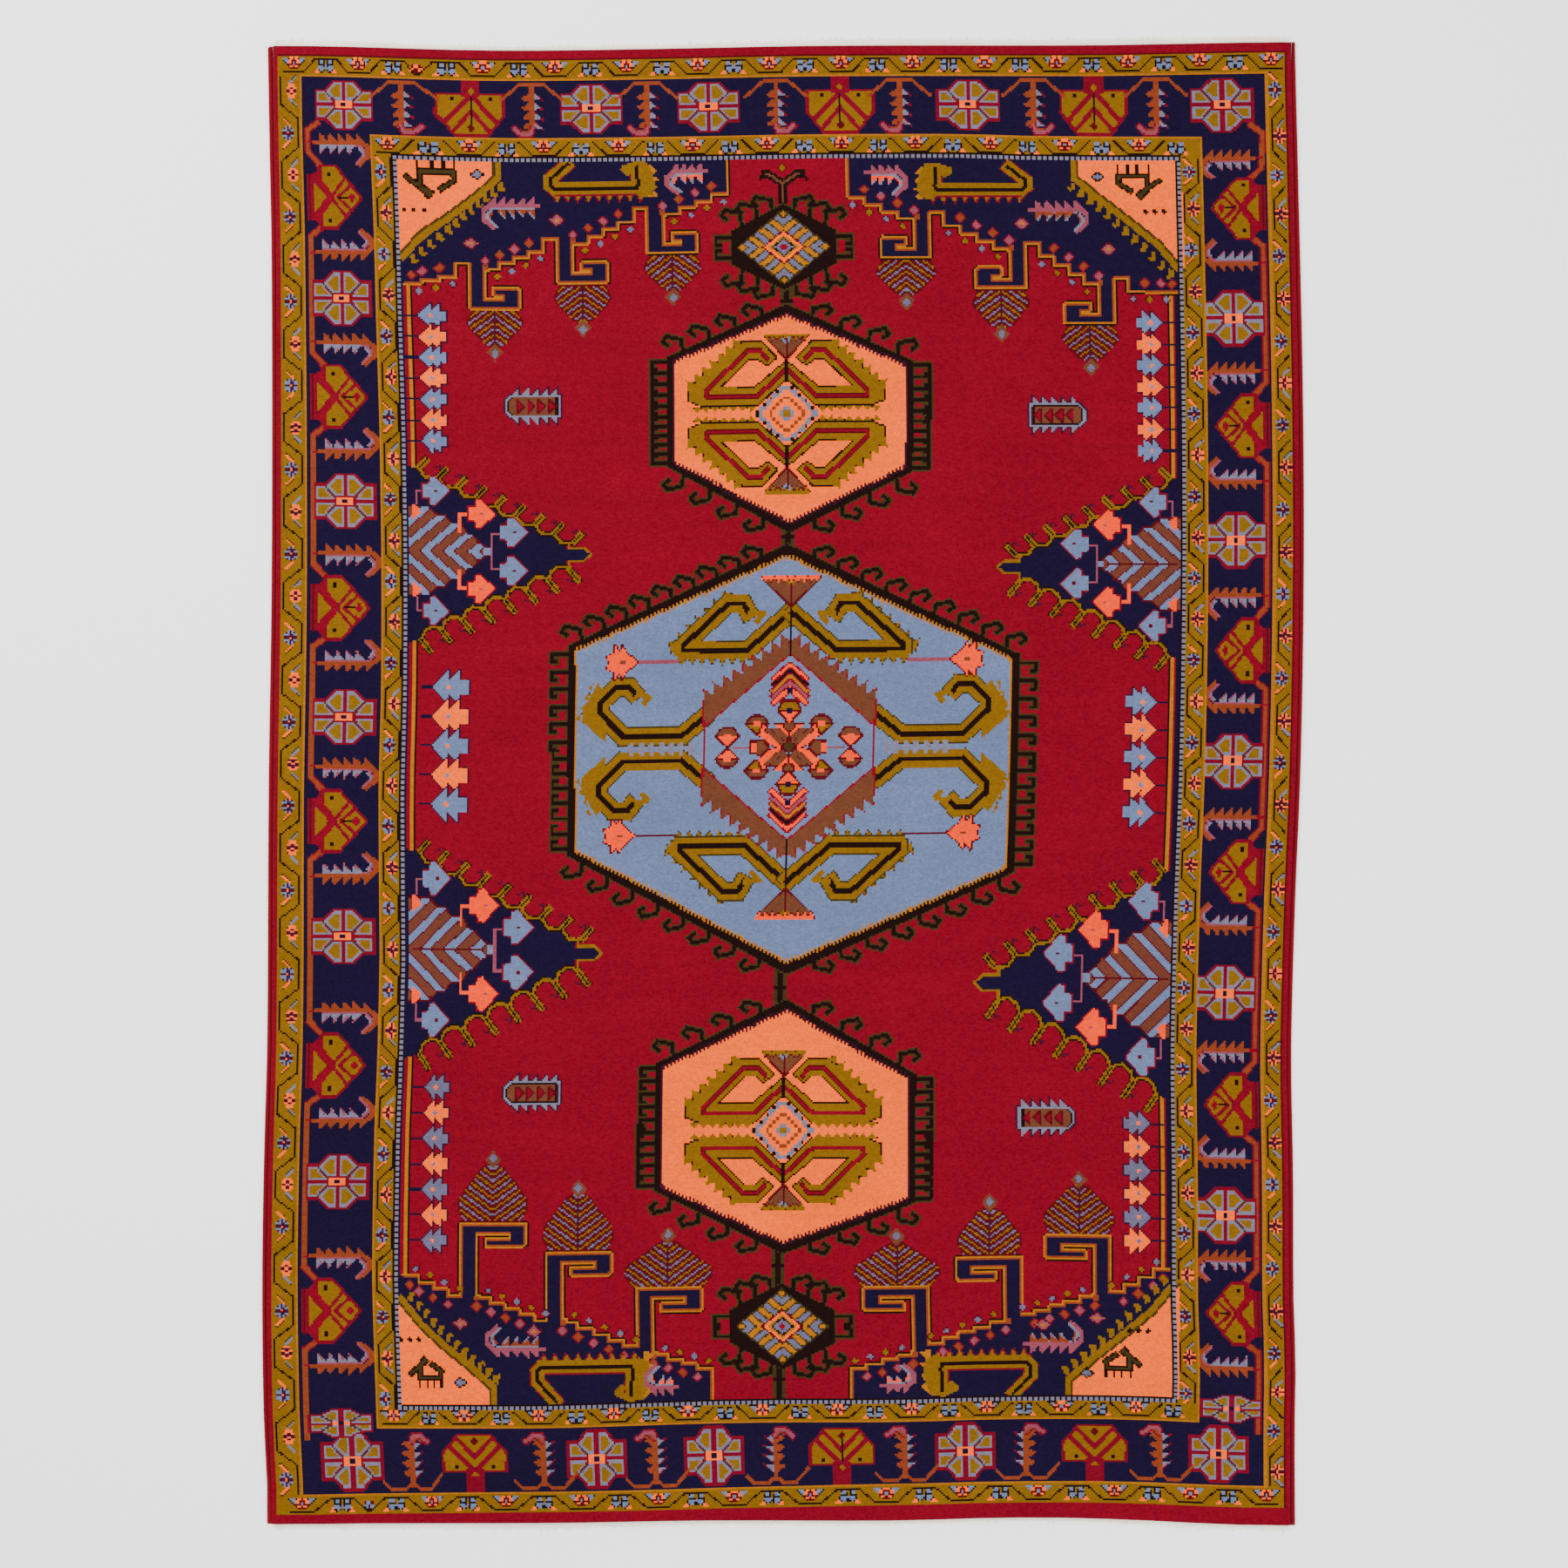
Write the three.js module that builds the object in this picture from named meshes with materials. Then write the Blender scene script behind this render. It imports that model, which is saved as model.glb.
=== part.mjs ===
// A hand-knotted wool village carpet, lying flat with its pile up.
// Millimetres, +Z up, +X across the width, +Y along the length. The origin is the middle of the
// carpet's footprint, on the surface that it lies on.

import * as THREE from 'three';

// Driving dimensions
const PILE_TOP = 11;
const PILE_SHOULDER = 2.5;
const SELVEDGE_WIDTH = 10;
const SELVEDGE_TOP = 8;
const WEB_THICKNESS = 2;
const GAP = 0.3;
const CORNER_CUT = 4;
const HALF_WIDTH = 1040;

// Steps along the long sides and across the ends
const SIDE_STEPS = 40;
const END_STEPS = 30;

// Uneven long sides: distance of the outer selvedge edge from the middle line, along the length
const LEFT_SIDE = [
  { along: -1520, out: 1044 },
  { along: -1410, out: 1051 },
  { along: -1250, out: 1058 },
  { along: -980, out: 1060 },
  { along: -740, out: 1056 },
  { along: -530, out: 1050 },
  { along: 0, out: 1047 },
  { along: 420, out: 1041 },
  { along: 1060, out: 1041 },
  { along: 1280, out: 1045 },
  { along: 1520, out: 1049 },
];
const RIGHT_SIDE = [
  { along: -1520, out: 1042 },
  { along: -1320, out: 1041 },
  { along: -1170, out: 1043 },
  { along: -1060, out: 1039 },
  { along: -800, out: 1038 },
  { along: -570, out: 1034 },
  { along: -440, out: 1036 },
  { along: -210, out: 1043 },
  { along: 0, out: 1052 },
  { along: 260, out: 1058 },
  { along: 540, out: 1060 },
  { along: 850, out: 1057 },
  { along: 1240, out: 1048 },
  { along: 1520, out: 1041 },
];

// Uneven ends: distance of the last row of pile from the middle, across the width
const FAR_END = [
  { across: -1050, out: 1502 },
  { across: -880, out: 1499 },
  { across: -720, out: 1494 },
  { across: -540, out: 1491 },
  { across: -240, out: 1495 },
  { across: 80, out: 1501 },
  { across: 640, out: 1502 },
  { across: 800, out: 1505 },
  { across: 960, out: 1508 },
  { across: 1050, out: 1511 },
];
const NEAR_END = [
  { across: -1050, out: 1506 },
  { across: -880, out: 1503 },
  { across: -470, out: 1502 },
  { across: -160, out: 1497 },
  { across: 240, out: 1497 },
  { across: 400, out: 1492 },
  { across: 560, out: 1491 },
  { across: 720, out: 1496 },
  { across: 880, out: 1504 },
  { across: 1050, out: 1509 },
];

// Cotton web past the last row of pile: its width across the carpet, worn away here and there
const FAR_WEB = [
  { across: -1050, width: 11 },
  { across: -700, width: 9 },
  { across: -400, width: 8 },
  { across: -100, width: 9 },
  { across: 150, width: 13 },
  { across: 500, width: 11 },
  { across: 800, width: 13 },
  { across: 1050, width: 9 },
];
const NEAR_WEB = [
  { across: -1050, width: 9 },
  { across: -800, width: 10 },
  { across: -560, width: 12 },
  { across: -300, width: 9 },
  { across: 0, width: 7 },
  { across: 600, width: 7 },
  { across: 850, width: 9 },
  { across: 1050, width: 8 },
];

// Short warp ends left standing out of the web
const STRANDS_PER_END = 140;
const STRAND_WIDTH = 3.2;
const STRAND_TIP_WIDTH = 1.4;
const STRAND_SHORTEST = 1.5;
const STRAND_LONGEST = 7;
const STRAND_SHIFT_SHARE = 0.4;
const WEB_SIDE_MARGIN = 4;

// Shares of the pile's shoulder and of the side cord's round that each layer is drawn in by
const SHOULDER_STEP_SHARE = 0.3;
const CORD_ROUND_SHARE = 0.25;
const CORD_FOOT_SHARE = 0.6;
const CORD_UPPER_SHARE = 0.25;
const CORD_CROWN_SHARE = 1.4;

// First scatter numbers of the near end's strands, and of every strand's shift and lean
const NEAR_END_SEED = 500;
const SHIFT_SEED = 1000;
const LEAN_SEED = 2000;

// Value of a table's column at one place, on a smooth curve through its rows
function smoothValue(table, placeKey, valueKey, place) {
  const last = table.length - 1;
  let i = 0;
  while (i < last - 1 && place > table[i + 1][placeKey]) {
    i += 1;
  }
  const slopeBetween = (a, b) => (
    (table[b][valueKey] - table[a][valueKey]) / (table[b][placeKey] - table[a][placeKey])
  );
  const span = table[i + 1][placeKey] - table[i][placeKey];
  const startSlope = slopeBetween(Math.max(i - 1, 0), i + 1);
  const endSlope = slopeBetween(i, Math.min(i + 2, last));
  const t = THREE.MathUtils.clamp((place - table[i][placeKey]) / span, 0, 1);
  const start = table[i][valueKey];
  const end = table[i + 1][valueKey];
  return (2 * t ** 3 - 3 * t ** 2 + 1) * start + (t ** 3 - 2 * t ** 2 + t) * span * startSlope
    + (3 * t ** 2 - 2 * t ** 3) * end + (t ** 3 - t ** 2) * span * endSlope;
}

const leftEdge = (y) => -smoothValue(LEFT_SIDE, 'along', 'out', y);
const rightEdge = (y) => smoothValue(RIGHT_SIDE, 'along', 'out', y);
const farEdge = (x) => smoothValue(FAR_END, 'across', 'out', x);
const nearEdge = (x) => -smoothValue(NEAR_END, 'across', 'out', x);

// A repeatable number from 0 to 1 for each whole number
function scatter(index) {
  const wave = Math.sin(index * 12.9898 + 4.1) * 43758.5453;
  return wave - Math.floor(wave);
}

function lerp(from, to, share) {
  return from + (to - from) * share;
}

// A closed body from rings of points at rising heights, each ring running anticlockwise
function layeredBody(layers) {
  const count = layers[0].ring.length;
  const positions = [];
  const triangles = [];
  for (const { ring, height } of layers) {
    for (const point of ring) {
      positions.push(point.x, point.y, height);
    }
  }
  for (let layer = 0; layer < layers.length - 1; layer += 1) {
    const low = layer * count;
    const high = low + count;
    for (let i = 0; i < count; i += 1) {
      const next = (i + 1) % count;
      triangles.push(low + i, low + next, high + next, low + i, high + next, high + i);
    }
  }
  const topStart = (layers.length - 1) * count;
  for (const [a, b, c] of THREE.ShapeUtils.triangulateShape(layers[0].ring, [])) {
    triangles.push(c, b, a);
  }
  for (const [a, b, c] of THREE.ShapeUtils.triangulateShape(layers[layers.length - 1].ring, [])) {
    triangles.push(topStart + a, topStart + b, topStart + c);
  }
  const geometry = new THREE.BufferGeometry();
  geometry.setAttribute('position', new THREE.Float32BufferAttribute(positions, 3));
  geometry.setIndex(triangles);
  geometry.computeVertexNormals();
  return geometry;
}

// Outline of the knotted cloth between the two selvedges, drawn in by an inset
function bodyRing(inset) {
  const side = SELVEDGE_WIDTH + GAP + inset;
  const ring = [];
  const nearLeft = leftEdge(nearEdge(-HALF_WIDTH)) + side;
  const nearRight = rightEdge(nearEdge(HALF_WIDTH)) - side;
  const farRight = rightEdge(farEdge(HALF_WIDTH)) - side;
  const farLeft = leftEdge(farEdge(-HALF_WIDTH)) + side;
  for (let i = 0; i < END_STEPS; i += 1) {
    const x = lerp(nearLeft, nearRight, i / END_STEPS);
    ring.push(new THREE.Vector2(x, nearEdge(x) + inset));
  }
  for (let i = 0; i < SIDE_STEPS; i += 1) {
    const y = lerp(nearEdge(nearRight) + inset, farEdge(farRight) - inset, i / SIDE_STEPS);
    ring.push(new THREE.Vector2(rightEdge(y) - side, y));
  }
  for (let i = 0; i < END_STEPS; i += 1) {
    const x = lerp(farRight, farLeft, i / END_STEPS);
    ring.push(new THREE.Vector2(x, farEdge(x) - inset));
  }
  for (let i = 0; i < SIDE_STEPS; i += 1) {
    const y = lerp(farEdge(farLeft) - inset, nearEdge(nearLeft) + inset, i / SIDE_STEPS);
    ring.push(new THREE.Vector2(leftEdge(y) + side, y));
  }
  return ring;
}

// Outline of one wrapped side cord, with its two outer corners cut; side is -1 left or 1 right
function selvedgeRing(side, inset) {
  const outer = (y) => (side < 0 ? leftEdge(y) : rightEdge(y)) - side * inset;
  const inner = (y) => outer(y) - side * (SELVEDGE_WIDTH - 2 * inset);
  const nearY = nearEdge(side * HALF_WIDTH) + inset;
  const farY = farEdge(side * HALF_WIDTH) - inset;
  const ring = [];
  ring.push(new THREE.Vector2(outer(nearY) - side * CORNER_CUT, nearY));
  for (let i = 0; i <= SIDE_STEPS; i += 1) {
    const y = lerp(nearY + CORNER_CUT, farY - CORNER_CUT, i / SIDE_STEPS);
    ring.push(new THREE.Vector2(outer(y), y));
  }
  ring.push(new THREE.Vector2(outer(farY) - side * CORNER_CUT, farY));
  for (let i = 0; i <= SIDE_STEPS; i += 1) {
    const y = lerp(farY, nearY, i / SIDE_STEPS);
    ring.push(new THREE.Vector2(inner(y), y));
  }
  return side > 0 ? ring : ring.reverse();
}

// Outline of one cotton end web with its warp ends; end is -1 near or 1 far
function webRing(end) {
  const pileEdge = end < 0 ? nearEdge : farEdge;
  const table = end < 0 ? NEAR_WEB : FAR_WEB;
  const left = leftEdge(pileEdge(-HALF_WIDTH)) + SELVEDGE_WIDTH + WEB_SIDE_MARGIN;
  const right = rightEdge(pileEdge(HALF_WIDTH)) - SELVEDGE_WIDTH - WEB_SIDE_MARGIN;
  const inner = (x) => pileEdge(x) + end * GAP;
  const outer = (x) => inner(x) + end * smoothValue(table, 'across', 'width', x);
  const ring = [];
  const pitch = (right - left) / STRANDS_PER_END;
  for (let i = 0; i < STRANDS_PER_END; i += 1) {
    const seed = i + (end < 0 ? NEAR_END_SEED : 0);
    const length = lerp(STRAND_SHORTEST, STRAND_LONGEST, scatter(seed) ** 2);
    const shift = STRAND_SHIFT_SHARE * (scatter(seed + SHIFT_SEED) - 0.5);
    const middle = left + (i + 0.5 + shift) * pitch;
    const lean = (scatter(seed + LEAN_SEED) - 0.5) * length;
    const root = STRAND_WIDTH / 2;
    const tip = STRAND_TIP_WIDTH / 2;
    const tipY = outer(middle) + end * length;
    ring.push(new THREE.Vector2(middle - root, outer(middle - root)));
    ring.push(new THREE.Vector2(middle + lean - tip, tipY));
    ring.push(new THREE.Vector2(middle + lean + tip, tipY));
    ring.push(new THREE.Vector2(middle + root, outer(middle + root)));
  }
  ring.push(new THREE.Vector2(right, outer(right)));
  for (let i = 0; i <= END_STEPS; i += 1) {
    const x = lerp(right, left, i / END_STEPS);
    ring.push(new THREE.Vector2(x, inner(x)));
  }
  ring.push(new THREE.Vector2(left, outer(left)));
  return end < 0 ? ring : ring.reverse();
}

const redWool = new THREE.MeshStandardMaterial({ color: 0x9c1424, roughness: 0.95, metalness: 0 });
const redWrap = new THREE.MeshStandardMaterial({ color: 0x9e2a30, roughness: 0.9, metalness: 0 });
const cotton = new THREE.MeshStandardMaterial({ color: 0xf2e8d4, roughness: 0.9, metalness: 0 });

function knottedBody() {
  const step = PILE_SHOULDER * SHOULDER_STEP_SHARE;
  const layers = [
    { height: 0, ring: bodyRing(0) },
    { height: PILE_TOP - PILE_SHOULDER, ring: bodyRing(0) },
    { height: PILE_TOP - step, ring: bodyRing(step) },
    { height: PILE_TOP, ring: bodyRing(PILE_SHOULDER) },
  ];
  const mesh = new THREE.Mesh(layeredBody(layers), redWool);
  mesh.name = 'rug_body';
  return mesh;
}

// The cord is round above and rests on a narrow flat
function selvedge(name, side) {
  const round = SELVEDGE_TOP * CORD_ROUND_SHARE;
  const layers = [
    { height: 0, ring: selvedgeRing(side, round * CORD_FOOT_SHARE) },
    { height: round, ring: selvedgeRing(side, 0) },
    { height: SELVEDGE_TOP - round, ring: selvedgeRing(side, round * CORD_UPPER_SHARE) },
    { height: SELVEDGE_TOP, ring: selvedgeRing(side, round * CORD_CROWN_SHARE) },
  ];
  const mesh = new THREE.Mesh(layeredBody(layers), redWrap);
  mesh.name = name;
  return mesh;
}

function endWeb(name, end) {
  const ring = webRing(end);
  const layers = [
    { height: 0, ring },
    { height: WEB_THICKNESS, ring },
  ];
  const mesh = new THREE.Mesh(layeredBody(layers), cotton);
  mesh.name = name;
  return mesh;
}

const carpet = new THREE.Group();
carpet.add(knottedBody());
carpet.add(selvedge('selvedge_left', -1));
carpet.add(selvedge('selvedge_right', 1));
carpet.add(endWeb('end_web_far', 1));
carpet.add(endWeb('end_web_near', -1));

// The middle of the footprint becomes the origin
const footprint = new THREE.Box3().setFromObject(carpet).getCenter(new THREE.Vector3());
for (const piece of carpet.children) {
  piece.position.set(-footprint.x, -footprint.y, 0);
}

export default carpet;
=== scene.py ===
import bisect
import math
import random

import bpy
import numpy as np
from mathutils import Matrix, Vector


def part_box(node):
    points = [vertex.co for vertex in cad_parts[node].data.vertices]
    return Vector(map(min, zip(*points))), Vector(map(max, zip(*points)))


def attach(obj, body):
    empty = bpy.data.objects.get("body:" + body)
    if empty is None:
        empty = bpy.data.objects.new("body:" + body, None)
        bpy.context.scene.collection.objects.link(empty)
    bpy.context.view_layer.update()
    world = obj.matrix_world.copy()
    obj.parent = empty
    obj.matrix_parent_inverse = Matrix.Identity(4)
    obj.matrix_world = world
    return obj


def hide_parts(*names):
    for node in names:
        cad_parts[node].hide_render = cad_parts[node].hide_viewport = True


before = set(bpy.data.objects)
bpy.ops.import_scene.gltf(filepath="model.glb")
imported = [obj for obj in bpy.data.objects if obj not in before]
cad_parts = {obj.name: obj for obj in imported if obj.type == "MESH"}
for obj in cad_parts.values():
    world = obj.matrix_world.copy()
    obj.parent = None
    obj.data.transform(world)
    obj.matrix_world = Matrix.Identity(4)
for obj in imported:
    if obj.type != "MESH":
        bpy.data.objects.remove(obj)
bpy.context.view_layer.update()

# Knots across and along the pile
WIDE, LONG = 555, 800


# Wool yarns: sRGB colours, each with a one-letter name in the chart
YARNS = {
    "R": (99, 1, 19), "E": (91, 2, 20), "N": (11, 3, 31), "G": (101, 69, 3), "O": (139, 80, 1),
    "B": (79, 90, 119), "L": (90, 86, 103), "P": (213, 80, 11), "C": (210, 52, 7), "K": (15, 2, 1),
    "W": (81, 43, 26), "U": (106, 42, 18), "I": (111, 49, 62), "M": (200, 186, 140), "S": (78, 74, 96),
    "D": (64, 1, 8), "V": (44, 34, 10), "X": (46, 4, 26), "T": (132, 78, 2), "Q": (81, 39, 27),
}
CODE = {letter: number for number, letter in enumerate(YARNS)}
# How far a drawn line runs past its ends, as a share of half its width
LINE_END = 0.6


class Chart:
    """The weaver's chart: one yarn for each knot, measured in knots from the carpet's middle."""

    def __init__(self, ground):
        self.cells = np.full((LONG, WIDE), CODE[ground], dtype=np.uint8)

    def window(self, low_x, low_y, high_x, high_y):
        """Cell ranges that cover a box, with the centres of those cells."""
        c0 = max(int(math.floor(low_x + WIDE / 2)), 0)
        c1 = min(int(math.ceil(high_x + WIDE / 2)) + 1, WIDE)
        r0 = max(int(math.floor(low_y + LONG / 2)), 0)
        r1 = min(int(math.ceil(high_y + LONG / 2)) + 1, LONG)
        xs = np.arange(c0, c1) + 0.5 - WIDE / 2
        ys = np.arange(r0, r1) + 0.5 - LONG / 2
        return slice(r0, r1), slice(c0, c1), xs[None, :], ys[:, None]

    def inside(self, points):
        """Cell ranges round a polygon, their centres and which of them lie in it."""
        xs_of, ys_of = zip(*points)
        rows, cols, xs, ys = self.window(min(xs_of), min(ys_of), max(xs_of), max(ys_of))
        within = np.zeros((ys.shape[0], xs.shape[1]), dtype=bool)
        for (ax, ay), (bx, by) in zip(points, points[1:] + points[:1]):
            if ay == by:
                continue
            crosses = (ys >= min(ay, by)) & (ys < max(ay, by))
            within ^= crosses & (xs < ax + (ys - ay) * (bx - ax) / (by - ay))
        return rows, cols, xs, ys, within

    def pen(self, x=0.0, y=0.0, wide=1.0, high=1.0):
        return Pen(self, x, y, wide, high)


class Pen:
    """Draws on the chart from a motif's own origin, with its x and y stretched or mirrored."""

    def __init__(self, chart, x, y, wide, high):
        self.chart, self.x, self.y, self.wide, self.high = chart, x, y, wide, high

    def place(self, point):
        return (self.x + point[0] * self.wide, self.y + point[1] * self.high)

    def at(self, point):
        """The same pen with one of its points as its origin."""
        return Pen(self.chart, *self.place(point), self.wide, self.high)

    def scaled(self, wide, high=1.0):
        """The same pen with its x and y stretched further, or mirrored where a share is negative."""
        return Pen(self.chart, self.x, self.y, self.wide * wide, self.high * high)

    def sides(self):
        return [self.scaled(side) for side in (-1, 1)]

    def ups(self):
        return [self.scaled(1, up) for up in (-1, 1)]

    def quarters(self):
        return [self.scaled(side, up) for side in (1, -1) for up in (1, -1)]

    def fill(self, points, yarn):
        rows, cols, _, _, within = self.chart.inside([self.place(p) for p in points])
        self.chart.cells[rows, cols][within] = CODE[yarn]

    def stroke(self, points, yarn, width):
        """Knots along a line of straight stretches."""
        reach = width / 2
        places = [self.place(p) for p in points]
        for (ax, ay), (bx, by) in zip(places, places[1:]):
            rows, cols, xs, ys = self.chart.window(
                min(ax, bx) - reach, min(ay, by) - reach, max(ax, bx) + reach, max(ay, by) + reach)
            length = math.hypot(bx - ax, by - ay) or 1.0
            ux, uy = (bx - ax) / length, (by - ay) / length
            along = (xs - ax) * ux + (ys - ay) * uy
            across = np.abs((ys - ay) * ux - (xs - ax) * uy)
            past = reach * LINE_END
            near = (across <= reach) & (along >= -past) & (along <= length + past)
            self.chart.cells[rows, cols][near] = CODE[yarn]

    def edge(self, points, yarn, width):
        self.stroke(points + points[:1], yarn, width)

    def layers(self, path, *bands):
        """One path drawn with narrower and narrower yarns."""
        for yarn, width in bands:
            self.stroke(path, yarn, width)

    def stripes(self, points, tones, pitch, measure):
        """Polygon in stripes of some yarns, by a measure of the motif's own x and y."""
        rows, cols, xs, ys, within = self.chart.inside([self.place(p) for p in points])
        value = measure((xs - self.x) / self.wide, (ys - self.y) / self.high)
        codes = np.array([CODE[tone] for tone in tones], dtype=np.uint8)
        shades = codes[np.floor(value / pitch).astype(int) % len(tones)]
        self.chart.cells[rows, cols][within] = shades[within]

    def box(self, x0, y0, x1, y1, yarn):
        self.fill([(x0, y0), (x1, y0), (x1, y1), (x0, y1)], yarn)

    def diamond(self, x, y, half_wide, half_high, yarn):
        self.fill([(x - half_wide, y), (x, y + half_high), (x + half_wide, y), (x, y - half_high)], yarn)


def shrunk(points, share):
    """A smaller copy of a polygon about its own middle."""
    mx = sum(p[0] for p in points) / len(points)
    my = sum(p[1] for p in points) / len(points)
    return [(mx + (x - mx) * share, my + (y - my) * share) for x, y in points]


def mirrored(points, sx=1, sy=1):
    return [(x * sx, y * sy) for x, y in points]


def whole(half, sx=1, sy=-1):
    """Polygon of a half and its mirror image; points on the mirror's line come once."""
    return half + [(x * sx, y * sy) for x, y in half[::-1] if (x * sx, y * sy) != (x, y)]


def upright(half):
    """Polygon of a right half and its mirror image about x = 0."""
    return whole(half, -1, 1)


def between(start, end, count, shift=0.5):
    """Places at even steps between two points."""
    shares = [(k + shift) / count for k in range(count)]
    return [(start[0] + (end[0] - start[0]) * s, start[1] + (end[1] - start[1]) * s) for s in shares]


def rosette(pen):
    """Eight gold petals edged pale, on a red ground with a red cross, round a peach heart."""
    pen.fill(upright(whole([(0, 15.2), (5.6, 15.2), (11, 9.6), (17, 9.6), (17, 0)])), "E")
    for quarter in pen.quarters():
        for petal in ([(1.2, 2.6), (1.2, 13.8), (4.8, 13.8), (10.2, 8.2), (5, 2.6)],
                      [(5.6, 1), (11.4, 8), (15.6, 8), (15.6, 1)]):
            quarter.fill(petal, "L")
            quarter.fill(shrunk(petal, 0.68), "G")
        quarter.stroke([(5, 2.4), (10.8, 8.2)], "V", 0.6)
    pen.box(-4.6, -2.4, 4.6, 2.4, "P")
    pen.box(-1.4, -1.4, 1.4, 1.4, "N")


def side_shield(pen):
    """Triangular gold shield that points along +x from a red base block, its base at x = 0."""
    pen.box(1.6, -11, 6, 11, "E")
    pen.stroke([(3.8, -11), (3.8, 11)], "D", 1)
    pen.fill(whole([(6, 9), (10, 15.6), (20.4, 15.6), (36.6, 0.6)]), "E")
    pen.fill(whole([(17, 0), (12, 7), (12, 14), (20, 14), (35, 0)]), "G")
    pen.fill(whole([(6.4, 7), (14, 0)]), "G")
    for half in pen.ups():
        half.stroke([(7, 10.6), (17.5, 0)], "R", 3.2)
        half.stroke([(17.5, 0.6), (26, 9.2)], "E", 1.8)
        half.stroke([(21.2, 0.2), (30, 6.2)], "E", 1.8)
        half.box(14.8, 10, 17, 12, "K")
    pen.stroke([(22, 0), (28, 0)], "K", 0.9)
    pen.diamond(30, 0, 2.4, 2.8, "R")


def end_shield(pen):
    """Flat-topped gold shield hanging from a red stem, its stem's root at y = 0."""
    pen.box(-5, -7.2, 5, -0.4, "E")
    pen.fill(upright([(18, -6.6), (18.4, -18), (9.4, -28.8)]), "E")
    pen.fill(upright([(16.4, -8), (16.6, -17.6), (8.6, -27.4)]), "G")
    for half in pen.sides():
        half.stroke([(0, -7.6), (13.6, -21.4)], "E", 2.8)
        half.stroke([(0, -15.6), (9.4, -26)], "E", 2.4)
        half.box(9, -10.8, 11, -8.6, "K")
    pen.box(-5, -8.6, 5, -6.4, "E")
    pen.diamond(0, -5.6, 1.8, 1.8, "G")
    pen.stroke([(0, -9), (0, -24)], "K", 0.8)
    pen.diamond(0, -24.4, 2.2, 2.4, "D")


def comb(pen, teeth=5, pitch=5.4, upper="U", lower="L", edge="I"):
    """Saw-toothed leaf along +x with a hook at its tip that turns down."""
    reach = teeth * pitch + 1.5
    tip = pen.at((reach, 0))
    pen.box(0, -0.2, reach, 1.8, upper)
    pen.box(3.6, -1.4, reach - 1, -0.2, edge)
    for k in range(teeth):
        tooth = pen.at((3.4 + k * pitch, 0))
        tooth.fill([(0, 1), (0.4, 5.6), (2, 4.6), (pitch, 1)], upper)
        if k < teeth - 1:
            tooth.fill([(0, -1), (0.8, -6.2), (pitch, -1)], lower)
            tooth.stroke([(0.8, -5.6), (3, -2.8)], edge, 0.9)
    tip.stroke([(0, 1), (3.6, -2), (3.6, -6.4), (-2, -11)], upper, 2.8)
    tip.stroke([(-0.6, -1.4), (1.4, -4), (1.4, -6), (-3.6, -10.8)], edge, 1.4)
    tip.stroke([(-1.4, -2.4), (0.2, -4.4), (0.2, -6)], lower, 1)


def petals(pen, places, yarn):
    for x, y in places:
        pen.box(x - 1, y - 0.9, x + 1, y + 0.9, yarn)


def guard_pink(pen):
    """Pink rosette between two pale blue leaves, its foot at y = 0."""
    for half in pen.sides():
        half.fill([(2.8, 7), (7.6, 7), (3.6, 2)], "K")
        half.fill([(3.4, 6.6), (6.8, 6.6), (3.8, 3)], "B")
    pen.fill(upright([(2, 0.4), (3.8, 2), (3.8, 5.4), (2, 7)]), "D")
    for half in pen.sides():
        petals(half, ((2.6, 4.6), (1.8, 2), (1.4, 6.4)), "P")
    pen.box(-0.6, 3, 0.6, 4.6, "L")


def guard_blue(pen):
    """Blue four-petal fan over two peach triangles, standing on y = 0."""
    for half in pen.sides():
        half.fill([(3.6, 0), (7, 0), (4.4, 3.2)], "P")
        half.fill([(0.1, 2.6), (1, 7.6), (4, 7.4), (5, 2.4), (3, 0.2), (0.3, 0.6)], "K")
        half.fill([(1.2, 4.9), (1.6, 7), (3.6, 7), (4.2, 4.9)], "B")
        half.fill([(0.8, 1.6), (1.2, 4), (4.2, 4), (4.2, 2.6), (2.6, 1)], "B")
    pen.box(-0.7, 3, 0.7, 4.6, "L")


def guard_bud(pen, petal):
    """Small flower that fills a narrow bay of the meander."""
    pen.fill(upright([(1.4, 0), (3.2, 1.4), (2, 5.2)]), "D")
    petals(pen, ((-1.8, 2), (1.8, 2), (0, 4.2)), petal)


def side_flower(pen, petal, leaf, lean):
    """Flower with two slanting leaves for the long guards, its middle at the origin."""
    for half in pen.ups():
        half.stroke([(0.9 * lean, 5.2), (-2.7 * lean, 8.7)], "V", 0.9)
        half.stroke([(0.9 * lean, 4.3), (-2.7 * lean, 7.8)], leaf, 1.1)
    pen.fill(whole([(-3.4, 0), (-2.2, 3), (0, 4), (2.2, 3), (3.4, 0)]), "X")
    for quarter in pen.quarters():
        quarter.box(1, 0.9, 3.2, 2.1, petal)
        quarter.box(0.4, 2.2, 1.8, 3.8, petal)
    pen.box(-0.6, -0.6, 0.6, 0.6, "P")


# Meander of the guard stripes: half its flat stretch at the ends, at an end's buds and along the sides
END_FLAT = 6.2
BUD_FLAT = 0.6
SIDE_FLAT = 7.6
# Width of the guard stripes that their flowers are drawn for, in knots
END_WIDTH = 10.5
SIDE_WIDTH = 11.6


def alternating(first, last, count, kinds):
    """Even stops between two places, with their kinds by turns."""
    step = (last - first) / (count - 1)
    return [(first + k * step, kinds[k % len(kinds)]) for k in range(count)]


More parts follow.
